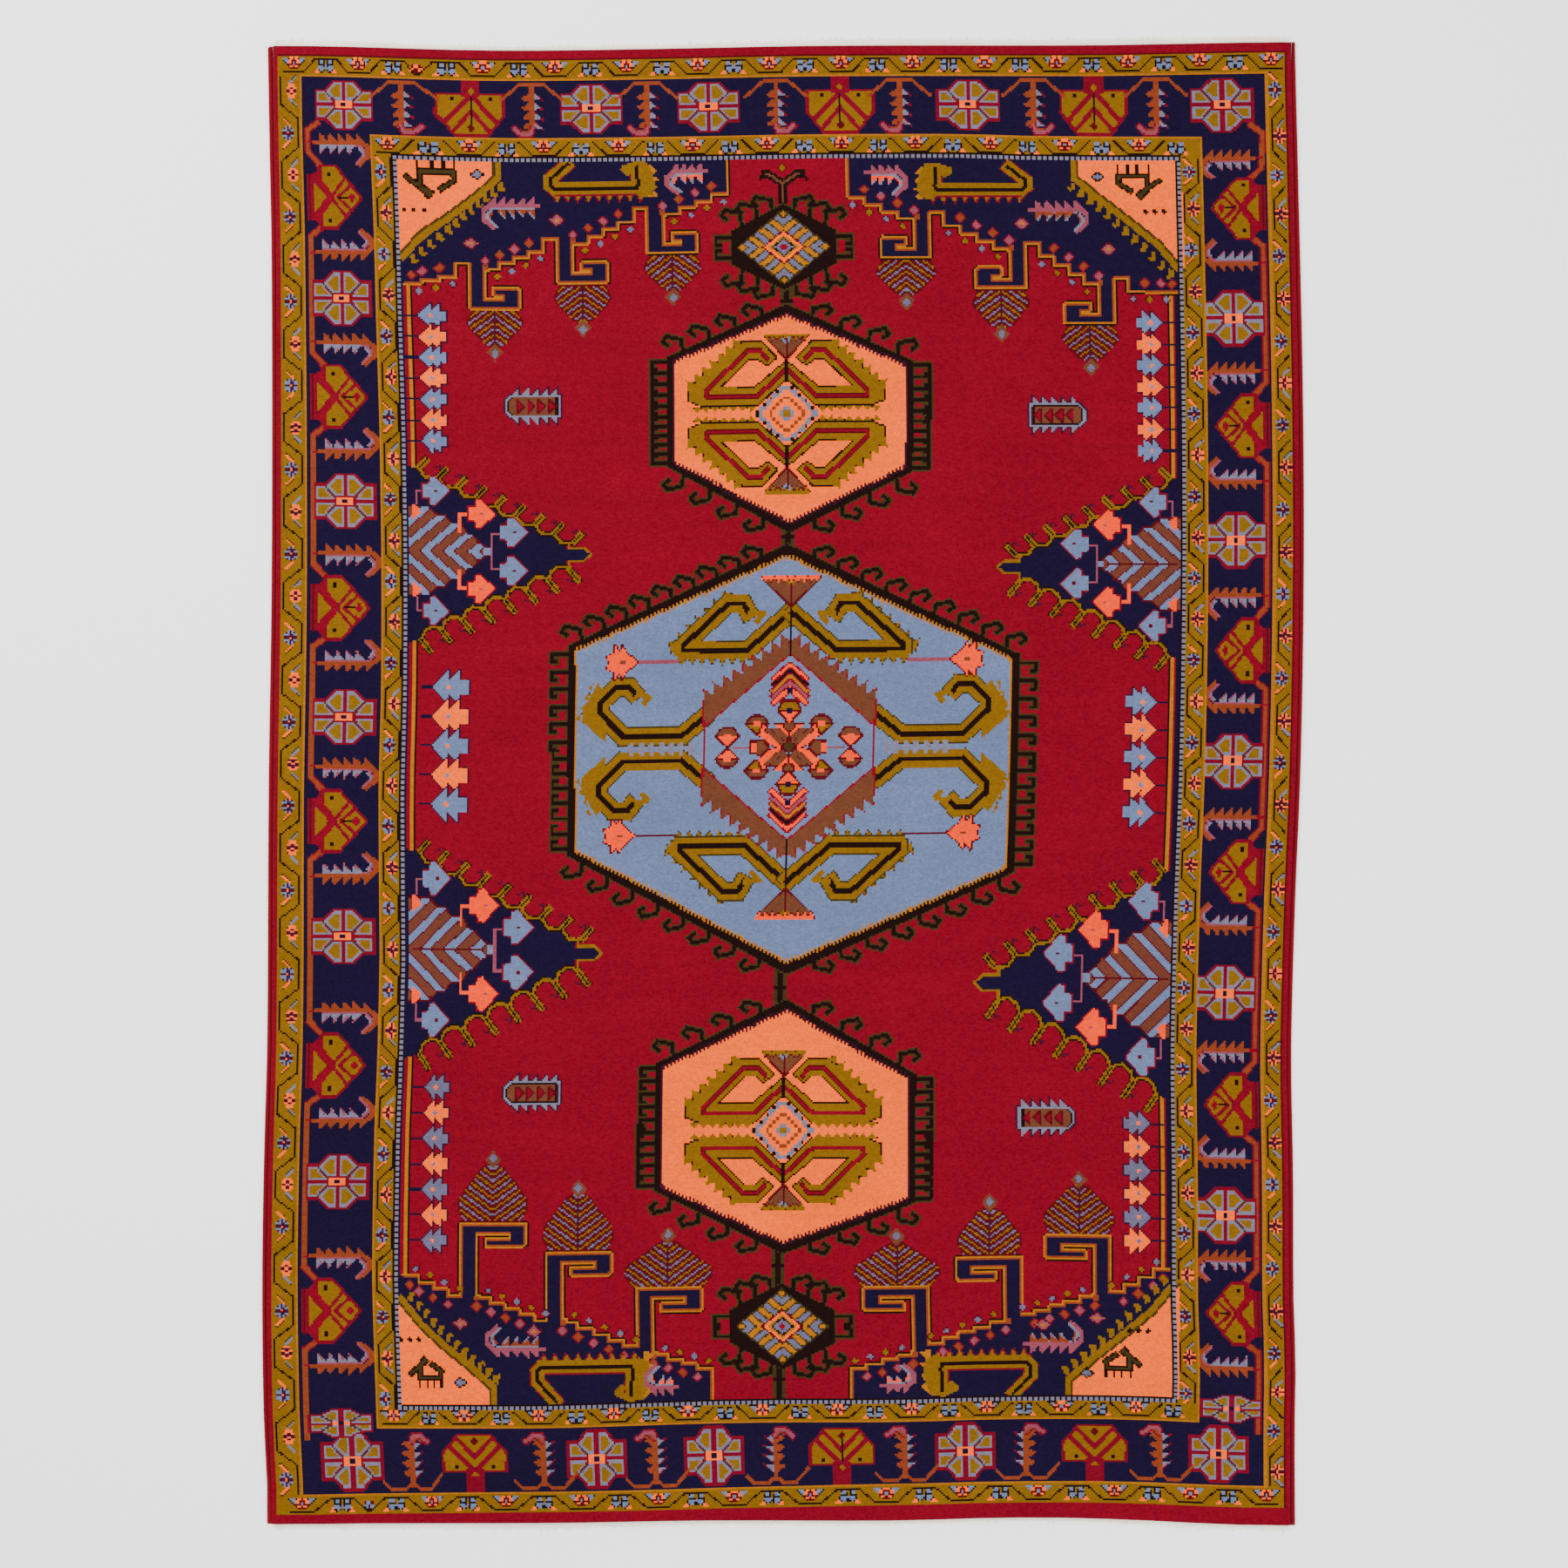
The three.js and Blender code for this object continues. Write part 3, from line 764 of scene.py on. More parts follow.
def central_field(chart, corners, middle):
    """Light blue hexagon with its saw-edged diamond, long toothed arms and coral flowers."""
    hooked_ground(chart, corners, (13, 9, 8), 4.4)
    chart.pen().fill(corners, "B")
    comb_edge(chart, corners, "O")
    for side, tall_wide, long_wide in ((1, 1.06, 1.01), (-1, 1.11, 1.06)):
        for up in (1, -1):
            tall = chart.pen(*middle, side * tall_wide, up)
            long = chart.pen(*middle, side * long_wide, up)
            central_arms(tall, long)
            saw_diamond(chart.pen(*middle, side * 1.035, up))
            coral_flower(long.at((-82, 47.2)))
    for side in (-1, 1):
        for k in range(7):
            tooth = chart.pen(middle[0] + side * (88 - k * 5.4), middle[1], -side)
            tooth.fill(whole([(0, 0), (2, 3.4), (4, 3.4)]), "L")
    for up in (1, -1):
        pen = chart.pen(*middle, up, up)
        pen.stroke([(0, 50), (0, 76)], "K", 1.2)
        triangle_fan(pen.at((0, 77)), 16, 14.8, "C", "G")
        for k, yarn in enumerate("CKOIC"):
            y = 44.6 - k * 3.2
            pen.layers([(-9, y - 8), (0, y), (9, y - 8)], ("E", 4), (yarn, 2.2))
        pen.box(-1.6, 29, 1.6, 32, "N")
        bud(pen.at((0, 20)), "G", "C", "N")
        for x, y, low in ((17.4, 12.6, "G"), (33.4, 6.2, "C")):
            for side in (-1, 1):
                bud(pen.at((side * x, y)).scaled(1, 0.8), "W", low, "C")
        pen.stroke([(-30, 0), (-20, 0)], "I", 1)
    cross_rosette(chart.pen(*middle))


def central_arms(tall, long):
    """One quarter's two toothed arms, each from its own pen."""
    toothed(tall, (-22, 49), (-58, 49), 7, 3.8, "G", "V")
    toothed(tall, (-62, 53), (-30, 84), 7, 4.2, "G", "V")
    tall.layers(TALL_ARM, ("V", 10.6), ("G", 9.2))
    long.layers(SIDE_ARM, ("V", 10.6), ("G", 9.2))
    long.fill([(-99, 4), (-112, 15.6), (-110.4, 24), (-103.2, 36), (-98, 30)], "G")
    toothed(long, (-104, 36), (-112, 14), 4, -3.4, "G", "V")
    tall.stroke(TALL_ARM, "K", 2.9)
    long.stroke(SIDE_ARM, "K", 2.9)
    tall.stroke([(-21.4, 73), (-13.8, 72.6), (-17.6, 68)], "G", 3)
    long.stroke([(-82, 30), (-75.6, 28), (-78.3, 24.6)], "G", 3)


def saw_diamond(pen):
    """One quarter of the brown saw-edged diamond in the middle."""
    frame_line = [(-45, 26), (-45, 11.6), (-10.6, 42), (0, 51)]
    toothed(pen, (-45, 25), (0, 57.6), 9, 5.6, "W", "R", 0.1)
    pen.stroke(frame_line, "R", 1.8)
    pen.fill([(0, 58.6)] + frame_line, "W")
    pen.stroke([(-44.6, 15), (-44.6, 0)], "R", 1.2)


# Field motifs. Half medallions and boats: place and mirror sign, the former with their growth
HALF_MEDALLIONS = ((-204.6, 128, 1, 1), (-203.6, -88.6, 1, 1.18), (211.6, 118.6, -1, 1.03),
                   (212, -106.8, -1, 1.3))
BOATS = ((-138.3, 206.9, 1), (146.5, 199.4, -1), (-134.7, -166.6, 1), (146, -182.8, -1))
# Leaf columns: place across, first and last leaf, count, mirror sign and size
COLUMNS = ((-192, 255.7, 187.6, 7, 1, 0.68), (-182.5, 54, -9.9, 5, 1, 1),
           (-187.5, -163.5, -246.7, 7, 1, 0.72),
           (197.5, 249.4, 180, 7, -1, 0.68), (193, 43.7, -16.2, 5, -1, 0.84),
           (195.7, -185.2, -248.9, 6, -1, 0.72))
# Stretches of the stem that joins the medallions
STEMS = ((272, 252), (146, 122), (-98, -124), (-248, -276), (-312, -336))


def draw_field(chart):
    """Everything inside the field's orange line."""
    stem = chart.pen()
    for y0, y1 in STEMS:
        for half in stem.sides():
            half.stroke([(2.4, y0), (2.4, y1)], "V", 2.4)
        stem.stroke([(0, y0), (0, y1)], "K", 3.6)
        stem.stroke([(-3.2, (y0 + y1) / 2), (3.2, (y0 + y1) / 2)], "K", 1)
    finial(chart.pen(-1, 291.5))
    medallion_diamond(chart, -1, 291.5, 27, 21.2)
    medallion_diamond(chart, 2.1, -295, 27, 21)
    peach_hexagon(chart, [(0, 254.9), (65.4, 226.7), (64.2, 171.5), (0.4, 141.6), (-61.7, 175.2),
                          (-61.7, 230.5)],
                  (-0.4, 201))
    peach_hexagon(chart, [(3.8, -123), (71.5, -160.6), (70.9, -225.7), (2.6, -250), (-64.4, -218.3),
                          (-63.5, -153.6)],
                  (2.6, -188.5))
    central_field(chart, [(-0.2, 123.4), (122.4, 66.5), (122.4, -46.5), (3.3, -97), (-113, -35),
                          (-114.6, 73.8)],
                  (2, 19.8))
    for x, y, side, grow in HALF_MEDALLIONS:
        half_medallion(chart.pen(x, y, side * (1 if grow < 1.1 else 1.08), grow))
    draw_spandrels(chart)
    for x, y, side in BOATS:
        boat(chart.pen(x, y, side))
    for x, first, last, count, side, size in COLUMNS:
        blue = "S" if last < -200 else "B"
        for k in range(count):
            pen = chart.pen(x - side * 10 * size, first + (last - first) * k / (count - 1), side)
            pen.stroke([(-7, 0), (2, 0)], "N", 1.1)
            yarn, heart = (blue, "P") if k % 2 == 0 else ("P", blue)
            arrow_leaf(pen.scaled(size, size), yarn, heart)


def finial(pen):
    """Branching stem with curled tips above the top medallion."""
    for width, yarn in ((4.4, "K"), (1.4, "W")):
        pen.stroke([(0, 20), (0, 34.6), (-7.4, 40), (-10.4, 40)], yarn, width)
        pen.stroke([(0, 34.6), (8, 40), (11, 40)], yarn, width)
    pen.stroke([(-10, 40), (-12, 37.6)], "K", 2)
    pen.stroke([(10.6, 40), (13.4, 37)], "K", 2)
    pen.diamond(0, 43.6, 3, 2.8, "D")
    pen.diamond(0, 43.6, 2.2, 2, "G")


# Boxes of the borders in knots: the outer guard, the navy band, the inner guard, the beaded line, the field
OUTER = (-275, -394.6, 274.7, 395.3)
BAND = (-261.1, -384, 263.9, 384)
INNER = (-220.4, -348, 227.2, 352.4)
BARBER = (-209.6, -338.6, 216.2, 342.2)
FIELD = (-201.8, -336.4, 207.8, 340)


def grown(box, by):
    return (box[0] - by, box[1] - by, box[2] + by, box[3] + by)


def draw_borders(chart):
    """Red edge, the gold guards with their meanders, the navy band and the lines round the field."""
    pen = chart.pen()
    pen.box(*grown(OUTER, 0.5), "D")
    x0, y0, x1, y1 = OUTER
    side_guard(chart, x0, BAND[0] - 1.4, y0, y1, alternating(376, -376, 34, "pb"))
    side_guard(chart, BAND[2] + 1.4, x1, y0, y1, alternating(376, -376, 34, "bp"))
    end_guard(chart, BAND[3] + 1.2, y1, x0, x1,
              [(-266, "p"), (-247, "b"), (-227.6, "p"), (-208.2, "b"),
               (-196.2, "s")] + alternating(-183, 267, 24, "bp"))
    end_guard(chart, y0, BAND[1] - 1.2, x0, x1,
              [(-262, "p"), (-241, "b"), (-227, "t")] + alternating(-212.4, 265, 24, "bp"))
    pen.box(*grown(BAND, 1.2), "T")
    pen.box(*BAND, "N")
    draw_band(chart)
    pen.box(*grown(INNER, 0.9), "T")
    x0, y0, x1, y1 = INNER
    for low, high in ((x0, BARBER[0] - 0.6), (BARBER[2] + 0.6, x1)):
        side_guard(chart, low, high, y0, y1, alternating(333, -333, 31, "bp"))
    for low, high in ((BARBER[3], y1), (y0, BARBER[1])):
        end_guard(chart, low, high, x0, x1, alternating(-212, 214.3, 22, "pb"))
    pen.box(*BARBER, "N")
    x0, y0, x1, y1 = BARBER
    for left, right, yarn in ((3.6, 4.6, "R"), (5.4, 6, "O"), (7, 7.6, "V"), (6.8, 7.4, "K")):
        pen.box(x0 + left, y0 + 2.2, x1 - right, y1 - 2.2, yarn)
    pen.box(*FIELD, "R")


def beaded_line(chart):
    """Narrow line of pale and dark knots between the inner guard and the field."""
    x0, y0, x1, y1 = BARBER
    pen = chart.pen()
    for grow, inset, dashed in ((0.6, 2.5, False), (0, 1.9, True)):
        for box in ((x0 - grow, y0 - grow, x0 + inset, y1 + grow),
                    (x1 - inset, y0 - grow, x1 + grow, y1 + grow),
                    (x0 - grow, y0 - grow, x1 + grow, y0 + inset),
                    (x0 - grow, y1 - inset, x1 + grow, y1 + grow)):
            if not dashed:
                pen.box(*box, "K")
                continue
            corners = [(box[0], box[1]), (box[2], box[1]), (box[2], box[3]), (box[0], box[3])]
            long_way = box[3] - box[1] > box[2] - box[0]
            pen.stripes(corners, "KLL", 1, lambda x, y, tall=long_way: (y if tall else x) + 0 * (x + y))


# Navy band: heights of the rosettes and shields along each side, with the shields' width
BAND_SIDES = (
    (1, BAND[0], (264, 154, 37, -82, -215), (318.7, 210.7, 96.1, -19.5, -152, -285), 1),
    (-1, BAND[2], (251.6, 131.7, 12.3, -113.2, -233.6), (311.3, 193.3, 72, -47.8, -173.8, -286.6), 0.93))
# The vine's edged line
VINE = (("E", 3.8), ("U", 2.4))
# Places of the combs across the ends: each with the side of its hook, and at the near end of its rust teeth
FAR_COMBS = ((-204, 1), (-137, -1), (-74, -1), (-3.6, 1), (64, -1), (137, 1), (204, -1))
NEAR_COMBS = ((-203, 1, -1), (-129, -1, -1), (-68, -1, -1), (-2.5, 1, 1), (68, -1, -1), (134, 1, 1),
              (207, -1, -1))


def draw_band(chart):
    """Rosettes, shields, combs and the vine of the navy band."""
    _, bottom, _, top = BAND
    for side, edge, stars, shields, spread in BAND_SIDES:
        pen = chart.pen(edge, 0, side)
        line = [(9, top - 25), (2.6, top - 29.4), (2.8, top - 40)]
        for y in shields:
            line += [(3.2, y + 24), (10, y + 16.4)]
            pen.layers(line, *VINE)
            line = [(10, y - 16), (3.2, y - 21)]
        line += [(3.2, bottom + 30)]
        pen.layers(line, *VINE)
        for y in shields:
            side_shield(chart.pen(edge, y, side * spread * 0.92, 1.13))
            for up in (1, -1):
                leaf = chart.pen(edge + side * 6, y + up * 29, side * spread, up)
                leaf.stroke([(-3, 0.8), (3, 0.8)], "R", 1.2)
                comb(leaf)
        for y in stars:
            rosette(chart.pen(edge + side * 20.4, y, side))
    for places, y, wide, high in (((-236.6, -104.6, -40.6, 101.3, 239.8), 368.8, 1.02, 0.9),
                                  ((-235, -100, -36, 101, 239), -366.4, 0.95, 1.06),
                                  ((-240,), -346, 1, 0.5), ((246,), -341, 1, 0.5)):
        for x in places:
            rosette(chart.pen(x, y, wide, high))
    for x in (-170.2, 31.4, 169.9):
        end_shield(chart.pen(x, top, 1.03, 1.06))
    for x in (-166.5, 33.6, 171.5):
        chart.pen(x, bottom).box(-5.4, 0.4, 5.4, 12, "E")
        end_shield(chart.pen(x, bottom + 4.4, 1, -0.96))
    for x, hook_side in FAR_COMBS:
        chart.pen(x, top).stroke([(-17, -10.6), (-6.6, -2), (6.6, -2), (17, -10.6)], "U", 1.7)
        end_comb(chart.pen(x, top - 2.8, 1, -1), hook_side, -1)
    for x, hook_side, rust_side in NEAR_COMBS:
        chart.pen(x, bottom).stroke([(-16, 6), (-12, 2.2), (-4, 2.2), (0, 5.6), (4, 2.2), (11, 2.2),
                                     (18, 10)], "U", 1.7)
        end_comb(chart.pen(x, bottom + 4.4), hook_side, rust_side)


def end_comb(pen, hook_side, rust_side):
    """Comb along +y of its own pen: rust teeth on one side, pale ones on the other, a hook at its tip."""
    rust, pale, hook = pen.scaled(rust_side), pen.scaled(-rust_side), pen.scaled(hook_side)
    for k in range(4):
        y = 3 + k * 5.2
        rust.fill([(0.4, y), (5.4, y + 3.6), (4.2, y + 4.8), (0.4, y + 5.4)], "U")
        pale.stroke([(0.6, y + 0.4), (6.2, y + 5)], "E", 1)
        pale.fill([(0.4, y), (5.2, y + 4.2), (0.4, y + 4.8)], "L")
    pen.stroke([(0, -0.6), (0, 24)], "U", 2.2)
    hook.layers([(0, 23), (1, 26.4), (5.6, 26.4), (9.8, 23)], ("E", 3.8), ("I", 2))
    hook.stroke([(0.4, 23), (2.4, 24.8), (5, 24.4)], "U", 1)


def carpet_chart():
    chart = Chart("R")
    draw_borders(chart)
    draw_field(chart)
    beaded_line(chart)
    return chart


# Heights in metres of the base cloth and the wool pile, and the pile's rounded shoulder as insets and heights
BASE_TOP = 0.0025
PILE_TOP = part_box("rug_body")[1][2]
SHOULDER = ((0.0025, PILE_TOP), (0.00075, PILE_TOP - 0.00075), (0.0, PILE_TOP - 0.0025), (0.0, BASE_TOP))
# The shoulder's last level is the pile's underside
UNDERSIDE = 3
# Depth of the lying cloth's slight waves in metres, then each wave: radians a metre across and along, phase
SWELL = 0.0005
WAVES = ((5.1, 2.3, 0.4), (-3.7, 6.4, 2.1), (9.3, 1.2, 4.0))
# Size of the coarse grid's blocks, in knots
BLOCK = 24
# A packed corner lower than this lies on the floor, and this close to a side it belongs to it, in metres
ON_FLOOR = 1e-5
CORNER = 0.03


def outline_tables(node):
    """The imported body's four edges as tables: left and right by y, near and far by x."""
    points = np.array([v.co[:] for v in node.data.vertices])
    low, high = points.min(axis=0), points.max(axis=0)
    ring = points[points[:, 2] < ON_FLOOR]
    near_low = [ring[:, axis] < low[axis] + CORNER for axis in (0, 1)]
    near_high = [ring[:, axis] > high[axis] - CORNER for axis in (0, 1)]
    tables = []
    for out, along in ((0, 1), (1, 0)):
        clear = ~near_low[along] & ~near_high[along]
        for edge in (near_low[out], near_high[out]):
            side = ring[clear & edge]
            side = side[np.argsort(side[:, along])]
            tables.append((side[:, along], side[:, out]))
    return tables


LEFT_EDGE, RIGHT_EDGE, NEAR_EDGE, FAR_EDGE = outline_tables(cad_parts["rug_body"])


# Drift of the woven lines from even spacing: places along the carpet in metres and shifts in metres
LEFT_DRIFT = ((-1.38, 0.009), (-1.24, 0.008), (-1.01, 0.003), (-0.71, 0.003), (-0.36, 0.008), (-0.02, 0.003),
              (0.18, 0.005), (0.48, 0.002), (0.72, -0.002), (0.97, -0.009), (1.22, -0.013), (1.33, -0.016))
FAR_DRIFT = ((-0.83, 0.001), (-0.18, -0.002), (0.36, -0.002), (0.48, -0.006), (0.71, -0.009), (0.89, -0.012))
NEAR_DRIFT = ((-0.83, 0.0), (-0.48, 0.0), (-0.26, 0.003), (0.0, 0.007), (0.53, 0.008), (0.71, 0.011),
              (0.96, 0.012))
NEAR_EDGE_DRIFT = ((-0.95, -0.002), (-0.53, 0.002), (-0.26, 0.002), (0.0, 0.008), (0.18, 0.013),
                   (0.53, 0.012), (0.71, 0.016), (0.96, 0.018))
# Where each drift acts, in knots from the middle, with its strength there
LEFT_REACH = ((-273.8, 0), (-222, 1), (-199, 1), (-184, 0))
FAR_REACH = ((322, 0), (338, 1), (353, 1), (388, 0))
NEAR_REACH = ((-384, 0), (-349, 1), (-336, 1), (-322, 0))
NEAR_EDGE_REACH = ((-400, 0), (-394.6, 0.9), (-384, 1), (-349, 0))
# Length that a place's first guess takes, in metres, and how often it is bettered
FIRST_LENGTH = 3.02
PASSES = 5


def read_off(table, value):
    """Value of a table of points, straight between them."""
    return np.interp(value, [point[0] for point in table], [point[1] for point in table])


def on_cloth(columns, rows, inset):
    """Metres for places counted in knots from the near left corner, drawn in from the edge by inset."""
    u, v = np.asarray(columns, float) / WIDE, np.asarray(rows, float) / LONG
    knot_x, knot_y = (u - 0.5) * WIDE, (v - 0.5) * LONG
    y = (v - 0.5) * FIRST_LENGTH
    for _ in range(PASSES):
        left, right = np.interp(y, *LEFT_EDGE) + inset, np.interp(y, *RIGHT_EDGE) - inset
        x = left + u * (right - left) + read_off(LEFT_DRIFT, y) * read_off(LEFT_REACH, knot_x)
        near, far = np.interp(x, *NEAR_EDGE) + inset, np.interp(x, *FAR_EDGE) - inset
        y = near + v * (far - near)
        for drift, reach in ((FAR_DRIFT, FAR_REACH), (NEAR_DRIFT, NEAR_REACH),
                             (NEAR_EDGE_DRIFT, NEAR_EDGE_REACH)):
            y = y + read_off(drift, x) * read_off(reach, knot_y)
    return x, y


def swell(x, y):
    """Slight unevenness of cloth that lies on a floor, always downwards."""
    waves = sum(np.sin(across * x + along * y + phase) for across, along, phase in WAVES)
    return -SWELL * (waves + len(WAVES)) / (2 * len(WAVES))


def cut_lines(size, extra):
    """Lines of the coarse grid: even blocks and the edges of the field."""
    return sorted(set(range(0, size, BLOCK)) | {size} | set(extra))


def yarn_blocks(cells, wanted, columns, rows):
    """Boxes of one yarn, cut at the coarse grid's lines: (column, row, column end, row end, yarn)."""
    stops_x, stops_y = set(columns), set(rows)
    boxes, growing = [], {}
    for r in range(LONG):
        fresh = {}
        start = 0
        for c in range(1, WIDE + 1):
            same = c < WIDE and cells[r, c] == cells[r, start] and wanted[r, c] == wanted[r, start]
            if same and c not in stops_x:
                continue
            if wanted[r, start]:
                run = (start, c, int(cells[r, start]))
                fresh[run] = growing.pop(run, r) if r not in stops_y else r
            start = c
        for (c0, c1, yarn), r0 in growing.items():
            boxes.append((c0, r0, c1, r, yarn))
        growing = fresh
    for (c0, c1, yarn), r0 in growing.items():
        boxes.append((c0, r0, c1, LONG, yarn))
    return boxes


class PileMesh:
    """Closed layer of pile whose top is divided along the edges between yarns."""

    def __init__(self, name, cells, wanted, field_box):
        self.name, self.cells, self.wanted = name, cells, wanted
        c0, r0, c1, r1 = field_box
        self.columns, self.rows = cut_lines(WIDE, (c0, c1)), cut_lines(LONG, (r0, r1))
        self.points, self.index, self.faces, self.yarns, self.under = [], {}, [], [], []
        self.boxes = yarn_blocks(cells, wanted, self.columns, self.rows)
        self.by_row, self.by_column = {}, {}
        for x0, y0, x1, y1, _ in self.boxes:
            for x, y in ((x0, y0), (x1, y0), (x1, y1), (x0, y1)):
                self.by_row.setdefault(y, set()).add(x)
                self.by_column.setdefault(x, set()).add(y)
        self.by_row = {key: sorted(value) for key, value in self.by_row.items()}
        self.by_column = {key: sorted(value) for key, value in self.by_column.items()}

    def corner(self, column, row, level=0):
        """Vertex number of a grid corner; level counts down the shoulder to the underside."""
        key = (column, row, level)
        if key not in self.index:
            self.index[key] = len(self.points)
            self.points.append(key)
        return self.index[key]

    def line(self, x0, y0, x1, y1):
        """All top corners along a horizontal or vertical line, in its own direction, without the last."""
        level = y0 == y1
        steps = self.by_row[y0] if level else self.by_column[x0]
        low, high = sorted((x0, x1) if level else (y0, y1))
        steps = steps[bisect.bisect_left(steps, low):bisect.bisect_right(steps, high)]
        found = [(step, y0) if level else (x0, step) for step in steps]
        if (x1, y1) < (x0, y0):
            found.reverse()
        return found[:-1]

    def add(self, face, yarn, under=False):
        self.faces.append(face)
        self.yarns.append(yarn)
        self.under.append(under)

    def build_top(self):
        for x0, y0, x1, y1, yarn in self.boxes:
            ring = self.line(x0, y0, x1, y0) + self.line(x1, y0, x1, y1)
            ring += self.line(x1, y1, x0, y1) + self.line(x0, y1, x0, y0)
            self.add([self.corner(x, y) for x, y in ring], yarn)

    def is_in(self, column, row):
        return 0 <= column < WIDE and 0 <= row < LONG and bool(self.wanted[row, column])

    def build_rest(self):
        """Underside as coarse blocks, and walls round the layer's edges."""
        red = CODE["R"]
        for x0, x1 in zip(self.columns, self.columns[1:]):
            for y0, y1 in zip(self.rows, self.rows[1:]):
                if not self.is_in(x0, y0):
                    continue
                below = [self.corner(x, y, UNDERSIDE) for x, y in ((x0, y0), (x0, y1), (x1, y1), (x1, y0))]
                self.add(below, red, True)
                sides = (((x0, y0, x1, y0), (x0, y0 - 1), y0 == 0), ((x1, y0, x1, y1), (x1, y0), x1 == WIDE),
                         ((x1, y1, x0, y1), (x0, y1), y1 == LONG), ((x0, y1, x0, y0), (x0 - 1, y0), x0 == 0))
                for (ax, ay, bx, by), beyond, is_outer in sides:
                    if self.is_in(*beyond):
                        continue
                    top = [self.corner(x, y) for x, y in self.line(ax, ay, bx, by)] + [self.corner(bx, by)]
                    for level in (1, 2, UNDERSIDE) if is_outer else (UNDERSIDE,):
                        lower = [self.corner(ax, ay, level), self.corner(bx, by, level)]
                        self.add(lower + top[::-1], red, True)
                        top = lower

    def make(self, material):
        self.build_top()
        self.build_rest()
        columns, rows, levels = (np.array(values) for values in zip(*self.points))
        places = np.zeros((len(self.points), 3))
        for level, (inset, height) in enumerate(SHOULDER):
            mask = levels == level
            x, y = on_cloth(columns[mask], rows[mask], inset)
            places[mask] = np.stack([x, y, np.full_like(x, height)], axis=1)
        above = levels < UNDERSIDE
        places[above, 2] += swell(places[above, 0], places[above, 1])
        mesh = bpy.data.meshes.new(self.name)
        mesh.from_pydata(places.tolist(), [], self.faces)
        tints = np.array([linear(YARNS[letter]) + (1.0,) for letter in YARNS])
        sizes = [len(face) for face in self.faces]
        corners = np.repeat(tints[self.yarns], sizes, axis=0)
        attribute = mesh.color_attributes.new("yarn", "FLOAT_COLOR", "CORNER")
        attribute.data.foreach_set("color", corners.ravel())
        lay_out(mesh, self.faces, places, self.under)
        return piece(self.name, mesh, material)


# Height of the flat map's strip for sides and underside, and how much of it they fill, as shares
UNDER_STRIP = 0.03
STRIP_FILL = 0.8


def lay_out(mesh, faces, places, under):
    """Flat map of the piece seen from above; sides and underside go in a narrow strip below it."""
    low, high = places.min(axis=0), places.max(axis=0)
    flat = (places[:, :2] - low[:2]) / (high[:2] - low[:2])
    order = np.concatenate([np.array(face) for face in faces])
    below = np.repeat(np.array(under), [len(face) for face in faces])
    uv = flat[order]
    uv[:, 1] = np.where(below, uv[:, 1] * UNDER_STRIP * STRIP_FILL,
                        UNDER_STRIP + uv[:, 1] * (1 - UNDER_STRIP))
    mesh.uv_layers.new(name="OFBake").data.foreach_set("uv", uv.ravel())


def linear(colour):
    """Linear colour of an sRGB yarn."""
    shares = [part / 255 for part in colour]
    return tuple(s / 12.92 if s <= 0.04045 else ((s + 0.055) / 1.055) ** 2.4 for s in shares)


def piece(name, mesh, material, smooth_below=15):
    mesh.validate()
    mesh.shade_smooth()
    mesh.set_sharp_from_angle(angle=math.radians(smooth_below))
    thing = bpy.data.objects.new(name, mesh)
    bpy.context.scene.collection.objects.link(thing)
    mesh.materials.append(material)
    return thing


# Gloss and fuzz that all the yarns share, and the middle range of a noise
SPECULAR = 0.06
SHEEN = 0.06
SHEEN_ROUGHNESS = 0.5
NOISE_RANGE = (0.3, 0.7)
BUMP_STRENGTH = 0.7


